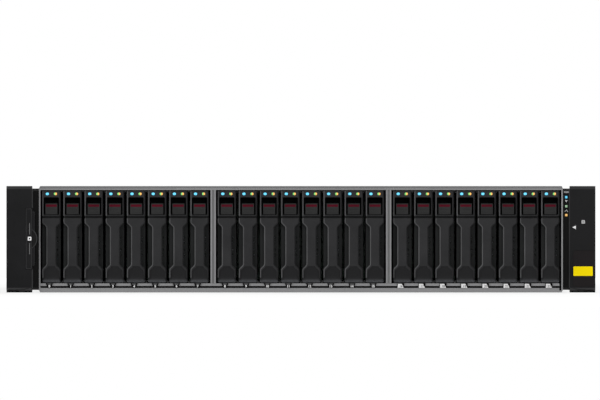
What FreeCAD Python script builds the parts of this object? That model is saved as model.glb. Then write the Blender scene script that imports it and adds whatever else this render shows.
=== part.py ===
import FreeCAD, Part
import math
import os

# Two-unit rack enclosure of a solid state storage array: 24 upright drive carriers in front,
# two stacked controllers and two power units behind.
# Millimetres. X runs to the right, Y from front to rear, Z up. While a piece is drawn, Y is 0
# on the front edge of the drive cage; every piece is then moved so that the origin
# lies under the middle of the whole enclosure.

Vector = FreeCAD.Vector

# Sheet metal and fits
sheet = 1.2
fit_gap = 0.3
pin_gap = 0.05
press_gap = 0.02

# Solid state drive
drive_thick = 14.4
drive_height = 70.0
drive_length = 100.0
drive_plug_length = 3.0
drive_plug_width = 5.0
drive_plug_height = 32.0
drive_plug_rise = 5.0

# Drive carrier: moulded bezel with two rails
carrier_width = 15.0
carrier_gap = 2.36
carrier_rail = 2.7
rail_inset = 0.5
bezel_depth = 14.0
bezel_setback = 1.0

# Light pipes, measured from the top of the carrier
led_width = 3.2
led_height = 2.0
led_drop = 2.9
led_offset = 3.3
led_length = 8.0

# Window and release button
window_width = 12.6
window_height = 14.5
window_drop = 5.7
window_depth = 12.0
button_width = 9.9
button_height = 9.3
button_depth = 7.5
button_setback = 1.0
ledge = 1.4

# Ejector lever: waisted plate that turns on a pin in its rounded heel
lever_gap = 0.8
lever_heel = 4.0
lever_neck = 7.7
lever_head = 4.4
lever_upper_shoulder = 3.1
lever_lower_shoulder = 4.6
lever_foot = 6.5
lever_dish_width = 10.2
lever_dish_height = 8.0
lever_dish_depth = 0.6
lever_pin = 0.8
cheek = 1.3
cheek_nose = 1.5
cheek_strut = 2.1
vent_width = 2.2
vent_height = 6.5
vent_pitch = 8.5
vents_per_side = 3

# Drive cage
cages = 3
bays_per_cage = 8
divider_width = 5.0
divider_relief = 0.35
divider_wall = 1.3
divider_recess = 1.0
bay_margin = 0.28
bottom_bar = 3.6
label_slot = 1.7
label_rail = 2.1
rail_setback = 0.6
end_slot = 1.65
end_slot_foot = 1.5
end_slot_depth = 60.0
ceiling = 1.3
cover_front = 1.6
guide_height = 2.0
guide_clearance = 0.4
guide_start = 3.0
guide_end = 6.0

# Bay number strip
strip_tab_top = 5.7
strip_tab_foot = 2.9
strip_tab_proud = 0.4
strip_tab_shift = -1.56
strip_bar_depth = 2.4

# Enclosure body
body_step = 2.0
frame_corner = 0.95
strip_width = 5.8
strip_setback = 2.0
strip_rib_length = 10.0
strip_rib_inset = 8.0
cover_lip = 10.0

# Rack ears and end caps
cap_width = 20.7
cap_front = 7.0
cap_wall = 1.6
cap_inner_wall = 5.6
cap_bevel = 2.5
ear_setback = 14.0
ear_thick = 2.0
ear_leg = 40.0
ear_edge = 0.6
ear_leg_edge = 4.0
ear_hole_offset = 11.95
ear_hole_spacing = 76.2
ear_hole_radius = 3.4
hook_width = 3.0
hook_height = 6.0
hook_length = 4.5
hook_inset = 22.0
badge_width = 17.8
badge_height = 29.8
badge_rise = 4.8
badge_depth = 0.5
badge_corner = 2.0
badge_edge = 0.8

# Information tab in the left cap
tab_width = 4.9
tab_height = 49.7
tab_middle = 44.0
tab_thick = 1.6
tab_edge_height = 44.2
tab_card = 1.0
tab_card_height = 39.0
tab_card_length = 76.0
tab_lug_radius = 9.5

# Status lenses on the right strip
lens_size = 2.0
lens_length = 5.0
lens_proud = 0.2
lens_rises = (78.1, 70.6, 63.4)

# Midplane and connectors
board_thick = 2.4
socket_length = 8.0
module_plug_length = 10.0
module_plug_width = 60.0
module_plug_height = 16.0

# Rear modules
module_length = 380.0
power_width = 103.0
tray_sheet = 1.0
face_thick = 1.5

# Controller board
standoff = 4.0
standoff_radius = 2.5
pcb_thick = 1.6
pcb_edge = 4.0
sink_width = 70.0
sink_length = 90.0
sink_height = 20.0
sink_base = 4.0
fin_thick = 1.2
fin_count = 14
memory_length = 120.0
memory_thick = 4.0
memory_height = 24.0
memory_pitch = 9.0
memory_count = 6

# Controller ports
host_ports = 4
host_pitch = 15.6
host_width = 13.8
host_height = 8.8
host_depth = 45.0
host_wall = 0.9
host_start = -20.0
lan_width = 11.8
lan_height = 8.4
lan_depth = 14.0
lan_wall = 2.0
lan_middle = 72.0
port_proud = 0.6
face_vent_width = 3.0
face_vent_height = 9.0
face_vent_pitch = 5.0
face_vent_count = 17
face_vent_rise = 27.0

# Controller ejector lever
arm_length = 66.0
arm_height = 11.0
arm_thick = 4.0
arm_gap = 1.0
arm_heel = 3.0
arm_pin = 1.25
arm_inset = 8.0
arm_rise = 16.0
arm_ear = 1.4

# Power unit
power_wall = 1.0
fan_frame = 59.0
fan_bore = 28.6
fan_depth = 24.0
fan_tip_gap = 0.9
fan_hub = 12.0
fan_blades = 7
fan_blade_thick = 1.4
fan_blade_pitch = 38.0
fan_shaft = 1.5
fan_strut = 3.0
fan_side = 11.5
guard_ring = 2.0
guard_rings = 4
guard_spoke = 2.2
handle_width = 8.5
handle_thick = 5.0
handle_height = 66.0
handle_side = 6.0
handle_gap = 1.0
handle_heel = 3.4
handle_pin = 1.25
handle_rise = 9.0
handle_ear = 1.2
inlet_width = 27.0
inlet_height = 19.4
inlet_depth = 22.0
inlet_wall = 1.6
inlet_mouth = 6.0
inlet_rise = 60.0
inlet_side = 87.0
blade_wide = 2.0
blade_tall = 4.6
blade_spread = 7.0
switch_width = 13.0
switch_height = 19.0
switch_depth = 14.0
switch_wall = 1.0
switch_rise = 24.0
switch_tilt = 8.0
switch_pin = 1.0
switch_stub = 0.6
rocker_gap = 0.5
rocker_end_gap = 1.1
rocker_back = 5.0
power_board = 2.0

# Screws
screw_head = 2.6
screw_head_thick = 1.4
screw_shank = 1.5
screw_length = 2.2
cover_screws_per_side = 4
screw_hole_gap = 0.1

# Places that follow from the sizes above
bay_pitch = carrier_width + carrier_gap
carrier_height = drive_height + 2 * carrier_rail + 2 * fit_gap
cage_inside = cages * bays_per_cage * bay_pitch + (cages - 1) * divider_width
cage_half = cage_inside / 2 + bay_margin + sheet
tub_half = cage_half + strip_width
rack_half = tub_half + cap_width
cage_floor = bottom_bar + label_slot + label_rail
carrier_foot = cage_floor + fit_gap
carrier_top = carrier_foot + carrier_height
cage_ceiling = carrier_top + fit_gap
cover_lip_foot = cage_ceiling + ceiling + fit_gap
height = cover_lip_foot + cover_front
body_top = height - body_step
wall_top = body_top - sheet
bezel_front = bezel_setback
bezel_back = bezel_front + bezel_depth
drive_front = bezel_back + fit_gap
drive_back = drive_front + drive_length
socket_front = drive_back + drive_plug_length + fit_gap
board_front = socket_front + socket_length
board_back = board_front + board_thick
module_front = board_back + module_plug_length + fit_gap
body_back = module_front + module_length
strip_back = strip_setback + sheet + fit_gap
ear_back = ear_setback + ear_thick
window_top = carrier_top - window_drop
window_foot = window_top - window_height
lever_top = window_foot - ledge - lever_gap
lever_pivot_y = bezel_front + lever_heel
lever_pivot_z = carrier_foot + fit_gap + lever_heel
floor_top = sheet
cover_underside = height - sheet
shelf_thick = sheet
module_height = (cover_underside - floor_top - shelf_thick - 4 * fit_gap) / 2
lower_foot = floor_top + fit_gap
shelf_foot = lower_foot + module_height + fit_gap
upper_foot = shelf_foot + shelf_thick + fit_gap
power_outer = cage_half - sheet - fit_gap
power_inner = power_outer - power_width
bay_wall_outer = power_inner - fit_gap
controller_half = bay_wall_outer - sheet - fit_gap
arm_pivot_x = -controller_half + arm_inset
arm_pivot_y = body_back + arm_gap + arm_heel
fan_middle_x = power_inner + fan_side + fan_frame / 2
power_middle_z = (lower_foot + cover_underside - fit_gap) / 2
handle_middle_x = power_inner + handle_side
handle_pivot_y = body_back + handle_gap + handle_heel
handle_pivot_z = lower_foot + handle_rise
switch_middle_x = power_inner + inlet_side
switch_middle_z = lower_foot + switch_rise
rear_reach = max(
    handle_pivot_y + handle_heel,
    arm_pivot_y + arm_heel,
)
middle_y = (rear_reach - cap_front) / 2
articulated_bays = tuple(range(0, cages * bays_per_cage, bays_per_cage))


def bay_middle(bay):
    cage = bay // bays_per_cage
    start = -cage_inside / 2 + cage * divider_width
    return start + (bay + 0.5) * bay_pitch


def block(x0, x1, y0, y1, z0, z1):
    corner = Vector(min(x0, x1), min(y0, y1), min(z0, z1))
    return Part.makeBox(abs(x1 - x0), abs(y1 - y0), abs(z1 - z0), corner)


def rod_x(radius, x0, x1, y, z):
    return Part.makeCylinder(radius, abs(x1 - x0), Vector(min(x0, x1), y, z), Vector(1, 0, 0))


def rod_y(radius, y0, y1, x, z):
    return Part.makeCylinder(radius, y1 - y0, Vector(x, y0, z), Vector(0, 1, 0))


def rod_z(radius, z0, z1, x, y):
    return Part.makeCylinder(radius, z1 - z0, Vector(x, y, z0), Vector(0, 0, 1))


def slab_y(outline, y0, y1):
    corners = [Vector(x, y0, z) for x, z in outline]
    face = Part.Face(Part.makePolygon(corners + corners[:1]))
    return face.extrude(Vector(0, y1 - y0, 0))


def slab_x(outline, x0, x1):
    corners = [Vector(x0, y, z) for y, z in outline]
    face = Part.Face(Part.makePolygon(corners + corners[:1]))
    return face.extrude(Vector(x1 - x0, 0, 0))


def joined(first, *others):
    return first.multiFuse(list(others)).removeSplitter()


def trimmed(shape, cutters):
    for cutter in cutters:
        shape = shape.cut(cutter)
    return shape


# Wedges that slant the outer corners of the frame at its top or bottom edge
def frame_corners(edge, rise):
    wedges = []
    for side in (-1, 1):
        outline = [
            (side * (cage_half - frame_corner), edge),
            (side * cage_half, edge),
            (side * cage_half, edge + rise),
        ]
        wedges.append(slab_y(outline[::side], 0, body_back))
    return wedges


def edges_where(shape, test):
    return [edge for edge in shape.Edges if test(edge)]


def runs_along(edge, axis):
    direction = edge.tangentAt(edge.FirstParameter)
    return edge.Curve.TypeId == "Part::GeomLine" and abs(direction.dot(axis)) > 0.999


def chassis_tub():
    step = body_step + sheet
    half = [
        (tub_half, body_step),
        (tub_half, wall_top),
        (tub_half - sheet, wall_top),
        (tub_half - sheet, step),
        (cage_half - sheet, step),
        (cage_half - sheet, floor_top),
    ]
    outline = [(cage_half, 0), (cage_half, body_step)] + half
    outline += [(-x, z) for x, z in reversed(half)]
    outline += [(-cage_half, body_step), (-cage_half, 0)]
    tub = trimmed(slab_y(outline, strip_back, body_back), frame_corners(0, body_step))
    for side in (-1, 1):
        flange = block(
            side * (cage_half - sheet), side * (tub_half - sheet / 2),
            body_back - sheet, body_back, step, wall_top,
        )
        tub = joined(tub, flange)
        for y, z in cover_screw_places() + ear_screw_places():
            hole = screw_shank + screw_hole_gap
            tub = tub.cut(rod_x(hole, side * (tub_half - 2 * sheet), side * (tub_half + sheet), y, z))
    return [tub]


def cover_screw_places():
    first = ear_setback + ear_leg + 3 * cover_lip
    last = body_back - 2 * cover_lip
    pitch = (last - first) / (cover_screws_per_side - 1)
    return [(first + n * pitch, wall_top - cover_lip / 2) for n in range(cover_screws_per_side)]


def ear_screw_places():
    y = ear_back + ear_leg / 2
    middle = height / 2
    spread = height / 4
    return [(y, middle - spread), (y, middle), (y, middle + spread)]


def top_cover():
    half = [(cage_half, height), (cage_half, body_top), (tub_half, body_top), (tub_half, wall_top)]
    inner = [(cage_half - sheet, wall_top), (cage_half - sheet, cover_underside)]
    outline = half + inner
    outline += [(-x, z) for x, z in reversed(half + inner)]
    cover = slab_y(outline, strip_back, body_back)
    panel = block(-cage_half, cage_half, 0, strip_back, cover_underside, height)
    lip = block(-cage_half, cage_half, 0, sheet, cover_lip_foot, height)
    cover = trimmed(joined(cover, panel, lip), frame_corners(height, -body_step))
    lip_front = ear_setback + ear_leg + cover_lip / 2
    for side in (-1, 1):
        side_lip = block(
            side * tub_half, side * (tub_half + sheet), lip_front, body_back,
            wall_top - cover_lip, body_top,
        )
        cover = joined(cover, side_lip)
        for y, z in cover_screw_places():
            hole = rod_x(screw_shank + screw_hole_gap, side * tub_half, side * (tub_half + 2 * sheet), y, z)
            cover = cover.cut(hole)
    return [cover]


def pan_screw(side, seat_x, y, z):
    head = rod_x(screw_head, side * seat_x, side * (seat_x + screw_head_thick), y, z)
    shank = rod_x(screw_shank, side * (seat_x - screw_length), side * seat_x, y, z)
    return joined(head, shank)


def case_screws():
    screws = []
    for side in (-1, 1):
        screws += [pan_screw(side, tub_half + sheet, y, z) for y, z in cover_screw_places()]
        screws += [pan_screw(side, tub_half + ear_thick, y, z) for y, z in ear_screw_places()]
    return screws


def cage_divider(middle):
    outer = divider_width / 2 - divider_relief
    inner = outer - divider_wall
    walls = [
        block(middle - outer, middle - inner, 0, board_front, cage_floor, cage_ceiling),
        block(middle + inner, middle + outer, 0, board_front, cage_floor, cage_ceiling),
    ]
    web = block(
        middle - outer, middle + outer, divider_recess, divider_recess + sheet, cage_floor, cage_ceiling,
    )
    return joined(web, *walls)


def drive_guides():
    half = (bay_pitch - carrier_width + 2 * rail_inset) / 2 - guide_clearance
    y0 = bezel_back + guide_start
    y1 = board_front - guide_end
    ribs = []
    for cage in range(cages):
        for n in range(bays_per_cage - 1):
            x = bay_middle(cage * bays_per_cage + n) + bay_pitch / 2
            ribs.append(block(x - half, x + half, y0, y1, cage_floor, cage_floor + guide_height))
            ribs.append(block(x - half, x + half, y0, y1, cage_ceiling - guide_height, cage_ceiling))
    return ribs


def drive_cage():
    inside = cage_half - sheet
    foot = block(-cage_half, cage_half, 0, strip_back, 0, bottom_bar)
    slot = block(inside - end_slot, inside, 0, end_slot_depth, end_slot_foot, cage_floor)
    pieces = [trimmed(foot, frame_corners(0, body_step) + [slot])]
    floor = block(-inside, inside, rail_setback, board_front, cage_floor - sheet, cage_floor)
    hem = block(
        -inside, inside, rail_setback, rail_setback + sheet, cage_floor - label_rail, cage_floor,
    )
    pieces.append(trimmed(joined(floor, hem), [slot]))
    roof = block(-inside, inside, 0, board_front, cage_ceiling, cage_ceiling + ceiling)
    bar = block(-cage_half, cage_half, 0, strip_back, cage_ceiling, cage_ceiling + ceiling)
    pieces.append(trimmed(joined(roof, bar), frame_corners(height, -body_step)))
    wall_head = min(cage_ceiling, wall_top)
    for side in (-1, 1):
        pieces.append(block(side * inside, side * cage_half, 0, board_front, bottom_bar, wall_head))
    first = -cage_inside / 2 + bays_per_cage * bay_pitch + divider_width / 2
    step = bays_per_cage * bay_pitch + divider_width
    pieces += [cage_divider(first + n * step) for n in range(cages - 1)]
    return pieces + drive_guides()


def bay_number_strip():
    inside = cage_half - sheet - fit_gap
    foot = bottom_bar
    back = rail_setback + strip_bar_depth
    strip = block(-inside, inside - end_slot, rail_setback, back, foot, foot + label_slot)
    for bay in range(cages * bays_per_cage):
        middle = bay_middle(bay) + strip_tab_shift
        top = strip_tab_top / 2
        low = strip_tab_foot / 2
        outline = [
            (middle - low, foot), (middle + low, foot),
            (middle + top, cage_floor), (middle - top, cage_floor),
        ]
        strip = strip.fuse(slab_y(outline, -strip_tab_proud, rail_setback))
    return [strip.removeSplitter()]


def midplane_board():
    inside = cage_half - sheet
    board = block(
        -inside, inside, board_front, board_back, floor_top + body_step, cage_ceiling + ceiling,
    )
    plugs = []
    for foot in (lower_foot, upper_foot):
        z = foot + module_height / 2
        plugs.append(block(
            -module_plug_width / 2, module_plug_width / 2, board_back, board_back + module_plug_length,
            z - module_plug_height / 2, z + module_plug_height / 2,
        ))
    for side in (-1, 1):
        x = side * (power_inner + power_outer) / 2
        plugs.append(block(
            x - module_plug_width / 2, x + module_plug_width / 2,
            board_back, board_back + module_plug_length,
            power_middle_z - module_plug_height / 2, power_middle_z + module_plug_height / 2,
        ))
    return [board] + plugs


def drive_connectors():
    foot = carrier_foot + carrier_rail + drive_plug_rise
    sockets = []
    for bay in range(cages * bays_per_cage):
        x = bay_middle(bay)
        sockets.append(block(
            x - drive_plug_width / 2, x + drive_plug_width / 2, socket_front, board_front,
            foot, foot + drive_plug_height,
        ))
    return sockets


def rear_bay_frame():
    wall_front = module_front
    inner = bay_wall_outer - sheet
    pieces = [
        block(side * inner, side * bay_wall_outer, wall_front, body_back, floor_top, cover_underside)
        for side in (-1, 1)
    ]
    pieces.append(block(-inner, inner, wall_front, body_back, shelf_foot, shelf_foot + shelf_thick))
    return pieces


def hook_places():
    return (hook_inset, height - hook_inset)


def rack_ear(side):
    flange = block(
        side * tub_half, side * rack_half, ear_setback, ear_back, ear_edge, height - ear_edge,
    )
    leg = block(
        side * tub_half, side * (tub_half + ear_thick), ear_setback, ear_back + ear_leg,
        ear_leg_edge, height - ear_leg_edge,
    )
    ear = joined(flange, leg)
    hole_x = side * (tub_half + ear_hole_offset)
    for shift in (-1, 1):
        hole_z = height / 2 + shift * ear_hole_spacing / 2
        ear = ear.cut(rod_y(ear_hole_radius, ear_setback - 1, ear_back + 1, hole_x, hole_z))
    for z in hook_places():
        half = hook_height / 2 + fit_gap
        slot_inner = tub_half + ear_thick
        slot = block(
            side * slot_inner, side * (slot_inner + hook_width + 2 * fit_gap),
            ear_setback - 1, ear_back + 1, z - half, z + half,
        )
        ear = ear.cut(slot)
    for y, z in ear_screw_places():
        hole = screw_shank + screw_hole_gap
        ear = ear.cut(rod_x(hole, side * (tub_half - 1), side * (tub_half + ear_thick + 1), y, z))
    return [ear]


def end_cap(side):
    shell = block(side * tub_half, side * rack_half, -cap_front, ear_setback, 0, height)
    front_edges = edges_where(
        shell,
        lambda e: runs_along(e, Vector(1, 0, 0)) and e.Vertexes[0].Point.y < -cap_front + 0.01,
    )
    shell = shell.makeChamfer(cap_bevel, front_edges)
    hollow = block(
        side * (tub_half + cap_inner_wall), side * (rack_half - cap_wall),
        -cap_front + cap_wall, ear_setback + 1, cap_wall, height - cap_wall,
    )
    shell = shell.cut(hollow)
    hook_inner = tub_half + ear_thick + fit_gap
    for z in hook_places():
        hook = block(
            side * hook_inner, side * (hook_inner + hook_width), ear_setback - 1,
            ear_setback + hook_length, z - hook_height / 2, z + hook_height / 2,
        )
        shell = joined(shell, hook)
    if side < 0:
        return [shell.cut(tab_recess())]
    return [shell.cut(badge_recess())]


def badge_recess():
    x1 = rack_half - badge_edge
    recess = block(
        x1 - badge_width, x1, -cap_front - 1, -cap_front + badge_depth,
        badge_rise, badge_rise + badge_height,
    )
    corners = edges_where(recess, lambda e: runs_along(e, Vector(0, 1, 0)))
    return recess.makeFillet(badge_corner, corners)


def tab_recess():
    half = tab_height / 2 + fit_gap
    return block(
        -tub_half - tab_width - fit_gap, -tub_half + 1, -cap_front - 1,
        -cap_front + tab_thick + fit_gap, tab_middle - half, tab_middle + half,
    )


def card_outer():
    return -tub_half + sheet + fit_gap


def ear_strip(side):
    plate = block(
        side * cage_half, side * tub_half, strip_setback, strip_back, body_step, body_top,
    )
    rib_inner = cage_half + fit_gap
    rib_outer = -card_outer() - tab_card - fit_gap
    rib = block(
        side * rib_inner, side * rib_outer, strip_back, strip_back + strip_rib_length,
        body_step + sheet + strip_rib_inset, wall_top - strip_rib_inset,
    )
    strip = joined(plate, rib)
    if side < 0:
        half = tab_card_height / 2 + fit_gap
        slot = block(
            card_outer() - fit_gap, card_outer() + tab_card + fit_gap,
            strip_setback - 1, strip_back + 1, tab_middle - half, tab_middle + half,
        )
        return [strip.cut(slot)]
    for lens in status_lenses():
        box = lens.BoundBox
        strip = strip.cut(block(
            box.XMin - press_gap, box.XMax + press_gap, strip_setback - 1, box.YMax,
            box.ZMin - press_gap, box.ZMax + press_gap,
        ))
    return [strip]


def status_lenses():
    x = (cage_half + tub_half) / 2
    half = lens_size / 2
    front = strip_setback - lens_proud
    return [
        block(x - half, x + half, front, front + lens_length, z - half, z + half) for z in lens_rises
    ]


def info_tab():
    front = -cap_front
    back = front + tab_thick
    inner_x = card_outer() + tab_card
    head = block(
        -tub_half - tab_width, -tub_half, front, back,
        tab_middle - tab_height / 2, tab_middle + tab_height / 2,
    )
    edge_half = tab_edge_height / 2
    edge = block(-tub_half, inner_x, front, back, tab_middle - edge_half, tab_middle + edge_half)
    lug_x = -tub_half - tab_width
    lug = rod_y(tab_lug_radius, front, back, lug_x, tab_middle).common(
        block(
            lug_x, lug_x + 2 * tab_lug_radius, front, back,
            tab_middle - tab_height, tab_middle + tab_height,
        )
    )
    card = block(
        card_outer(), inner_x, back, back + tab_card_length,
        tab_middle - tab_card_height / 2, tab_middle + tab_card_height / 2,
    )
    return [joined(head, edge, lug, card)]


def lever_outline():
    wide = carrier_width / 2
    neck = lever_neck / 2
    foot = lever_pivot_z
    low = foot + lever_foot
    high = lever_top - lever_head
    half = [
        (wide, foot),
        (wide, low),
        (neck, low + lever_lower_shoulder),
        (neck, high - lever_upper_shoulder),
        (wide, high),
        (wide, lever_top),
    ]
    return half + [(-x, z) for x, z in reversed(half)]


def carrier_lever():
    wide = carrier_width / 2
    narrow = wide - cheek - fit_gap
    plate = slab_y(lever_outline(), bezel_front, lever_pivot_y)
    nose = cheek_nose + fit_gap
    heel = rod_x(lever_heel, -wide, wide, lever_pivot_y, lever_pivot_z)
    front_low = block(
        -wide, wide, bezel_front, lever_pivot_y, lever_pivot_z - lever_heel, lever_pivot_z,
    )
    lever = joined(plate, heel.common(front_low))
    for side in (-1, 1):
        lever = lever.cut(rod_x(nose, side * narrow, side * (wide + 1), lever_pivot_y, lever_pivot_z))
    lever = joined(lever, rod_x(lever_heel, -narrow, narrow, lever_pivot_y, lever_pivot_z))
    bore = rod_x(lever_pin + pin_gap, -wide, wide, lever_pivot_y, lever_pivot_z)
    dish_half = lever_dish_width / 2
    dish_top = lever_pivot_z + lever_dish_height
    dish = slab_y(
        [
            (-dish_half, lever_pivot_z + fit_gap),
            (dish_half, lever_pivot_z + fit_gap),
            (dish_half, dish_top - dish_half / 2),
            (dish_half / 2, dish_top),
            (-dish_half / 2, dish_top),
            (-dish_half, dish_top - dish_half / 2),
        ],
        bezel_front - 1, bezel_front + lever_dish_depth,
    )
    return lever.cut(bore).cut(dish)


def carrier_pin():
    end = carrier_width / 2
    return rod_x(lever_pin, -end, end, lever_pivot_y, lever_pivot_z)


def carrier_button():
    front = bezel_front + button_setback
    foot = window_foot + fit_gap
    return block(
        -button_width / 2, button_width / 2, front, front + button_depth, foot, foot + button_height,
    )


def light_pipe(side):
    middle = side * led_offset
    z = carrier_top - led_drop
    half = led_width / 2 - press_gap
    rise = led_height / 2 - press_gap
    return block(
        middle - half, middle + half, bezel_front, bezel_front + led_length, z - rise, z + rise,
    )


def carrier_frame():
    wide = carrier_width / 2
    head_foot = lever_top + lever_gap
    plate_front = lever_pivot_y + fit_gap
    head = block(-wide, wide, bezel_front, bezel_back, head_foot, carrier_top)
    plate = block(-wide, wide, plate_front, bezel_back, carrier_foot, head_foot)
    frame = joined(head, plate)
    frame = frame.cut(
        rod_x(lever_heel + fit_gap, -wide - 1, wide + 1, lever_pivot_y, lever_pivot_z)
    )
    frame = frame.cut(block(
        -window_width / 2, window_width / 2, bezel_front - 1, bezel_front + window_depth,
        window_foot, window_top,
    ))
    z = carrier_top - led_drop
    for side in (-1, 1):
        middle = side * led_offset
        frame = frame.cut(block(
            middle - led_width / 2, middle + led_width / 2, bezel_front - 1, bezel_front + led_length,
            z - led_height / 2, z + led_height / 2,
        ))
        frame = joined(frame, lever_cheek(side))
        vent_side = side * (lever_neck / 2 + wide) / 2
        middle_z = (lever_top + lever_pivot_z) / 2
        for n in range(vents_per_side):
            vent_z = middle_z + (n - (vents_per_side - 1) / 2) * vent_pitch
            frame = frame.cut(block(
                vent_side - vent_width / 2, vent_side + vent_width / 2, plate_front - 1, bezel_back + 1,
                vent_z - vent_height / 2, vent_z + vent_height / 2,
            ))
    rail_half = wide - rail_inset
    rail_back = drive_back
    for foot in (carrier_foot, carrier_top - carrier_rail):
        rail = block(-rail_half, rail_half, bezel_back, rail_back, foot, foot + carrier_rail)
        frame = joined(frame, rail)
    return frame.cut(rod_x(lever_pin + press_gap, -wide - 1, wide + 1, lever_pivot_y, lever_pivot_z))


def lever_cheek(side):
    outer = side * carrier_width / 2
    inner = side * (carrier_width / 2 - cheek)
    nose = rod_x(cheek_nose, inner, outer, lever_pivot_y, lever_pivot_z)
    strut_top = lever_pivot_z + cheek_nose
    strut = block(
        inner, outer, lever_pivot_y, lever_pivot_y + lever_heel + 2 * fit_gap + 1,
        strut_top - cheek_strut, strut_top,
    )
    return joined(nose, strut)


def solid_state_drive():
    foot = carrier_foot + carrier_rail + fit_gap
    body = block(
        -drive_thick / 2, drive_thick / 2, drive_front, drive_back, foot, foot + drive_height,
    )
    plug_foot = carrier_foot + carrier_rail + drive_plug_rise
    plug = block(
        -drive_plug_width / 2, drive_plug_width / 2, drive_back, drive_back + drive_plug_length,
        plug_foot, plug_foot + drive_plug_height,
    )
    return joined(body, plug)


def drive_nodes():
    lever = carrier_lever()
    button = carrier_button()
    fixed = [carrier_frame(), solid_state_drive(), carrier_pin(), light_pipe(-1), light_pipe(1)]
    nodes = {}
    for bay in range(cages * bays_per_cage):
        place = Vector(bay_middle(bay), 0, 0)
        solids = list(fixed)
        if bay in articulated_bays:
            nodes[f"lever_{bay:02d}"] = [lever.translated(place)]
            nodes[f"button_{bay:02d}"] = [button.translated(place)]
        else:
            solids += [lever, button]
        nodes[f"drive_{bay:02d}"] = [solid.translated(place) for solid in solids]
    return nodes


def host_port_x(port):
    return host_start + port * host_pitch


def port_foot(foot):
    return foot + tray_sheet + standoff + pcb_thick


def controller_tray(foot):
    top = foot + module_height
    half = controller_half
    face_front = body_back - face_thick
    floor = block(-half, half, module_front, body_back, foot, foot + tray_sheet)
    walls = [
        block(side * (half - tray_sheet), side * half, module_front, body_back, foot, top)
        for side in (-1, 1)
    ]
    face = block(-half, half, face_front, body_back, foot, top)
    tray = joined(floor, face, *walls)
    ports = port_foot(foot)
    gang_start = host_port_x(0) - host_width / 2 - host_wall
    gang_end = host_port_x(host_ports - 1) + host_width / 2 + host_wall
    tray = tray.cut(block(
        gang_start - press_gap, gang_end + press_gap, face_front - 1, body_back + 1,
        ports - press_gap, ports + host_height + 2 * host_wall + press_gap,
    ))
    lan_half = lan_width / 2 + lan_wall + press_gap
    tray = tray.cut(block(
        lan_middle - lan_half, lan_middle + lan_half, face_front - 1, body_back + 1,
        ports - press_gap, ports + lan_height + 2 * lan_wall + press_gap,
    ))
    for n in range(face_vent_count):
        x = host_start + n * face_vent_pitch
        vent_foot = foot + face_vent_rise
        tray = tray.cut(block(
            x - face_vent_width / 2, x + face_vent_width / 2, face_front - 1, body_back + 1,
            vent_foot, vent_foot + face_vent_height,
        ))
    pin_z0 = foot + arm_rise - arm_height / 2 - fit_gap
    pin_z1 = foot + arm_rise + arm_height / 2 + fit_gap
    ears = []
    for z0, z1 in ((pin_z0 - arm_ear, pin_z0), (pin_z1, pin_z1 + arm_ear)):
        ears.append(block(
            arm_pivot_x - arm_heel, arm_pivot_x + arm_heel, body_back, arm_pivot_y, z0, z1,
        ))
        ears.append(rod_z(arm_heel, z0, z1, arm_pivot_x, arm_pivot_y))
    tray = joined(tray, *ears)
    pin = rod_z(arm_pin, pin_z0 - arm_ear, pin_z1 + arm_ear, arm_pivot_x, arm_pivot_y)
    hole = rod_z(arm_pin + press_gap, pin_z0 - 2 * arm_ear, pin_z1 + 2 * arm_ear, arm_pivot_x, arm_pivot_y)
    return [tray.cut(hole), pin]


def heat_sink(x, y, foot):
    base = block(x, x + sink_width, y, y + sink_length, foot, foot + sink_base)
    pitch = (sink_width - fin_thick) / (fin_count - 1)
    fins = [
        block(
            x + n * pitch, x + n * pitch + fin_thick, y, y + sink_length,
            foot + sink_base, foot + sink_height,
        )
        for n in range(fin_count)
    ]
    return joined(base, *fins)


def host_port_gang(foot):
    back = body_back + port_proud
    front = back - host_depth - host_wall
    start = host_port_x(0) - host_width / 2 - host_wall
    end = host_port_x(host_ports - 1) + host_width / 2 + host_wall
    gang = block(start, end, front, back, foot, foot + host_height + 2 * host_wall)
    for port in range(host_ports):
        x = host_port_x(port)
        gang = gang.cut(block(
            x - host_width / 2, x + host_width / 2, back - host_depth, back + 1,
            foot + host_wall, foot + host_wall + host_height,
        ))
    return gang


def lan_port(foot):
    back = body_back + port_proud
    half = lan_width / 2 + lan_wall
    jack = block(
        lan_middle - half, lan_middle + half, back - lan_depth - lan_wall, back,
        foot, foot + lan_height + 2 * lan_wall,
    )
    return jack.cut(block(
        lan_middle - lan_width / 2, lan_middle + lan_width / 2, back - lan_depth, back + 1,
        foot + lan_wall, foot + lan_wall + lan_height,
    ))


def controller_board(foot):
    half = controller_half - tray_sheet - pcb_edge
    front = module_front + pcb_edge
    back = body_back - face_thick - fit_gap
    pcb_foot = foot + tray_sheet + standoff
    top = port_foot(foot)
    pieces = [block(-half, half, front, back, pcb_foot, top)]
    for x in (-half + pcb_edge, 0, half - pcb_edge):
        for y in (front + pcb_edge, back - 3 * pcb_edge):
            pieces.append(rod_z(standoff_radius, foot + tray_sheet, pcb_foot, x, y))
    sink_y = front + sink_length / 2
    pieces.append(heat_sink(-half + 3 * pcb_edge, sink_y, top))
    memory_x = -half + 3 * pcb_edge + sink_width + memory_pitch
    for n in range(memory_count):
        x = memory_x + n * memory_pitch
        pieces.append(block(
            x, x + memory_thick, sink_y, sink_y + memory_length, top, top + memory_height,
        ))
    return pieces + [host_port_gang(top), lan_port(top)]


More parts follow.
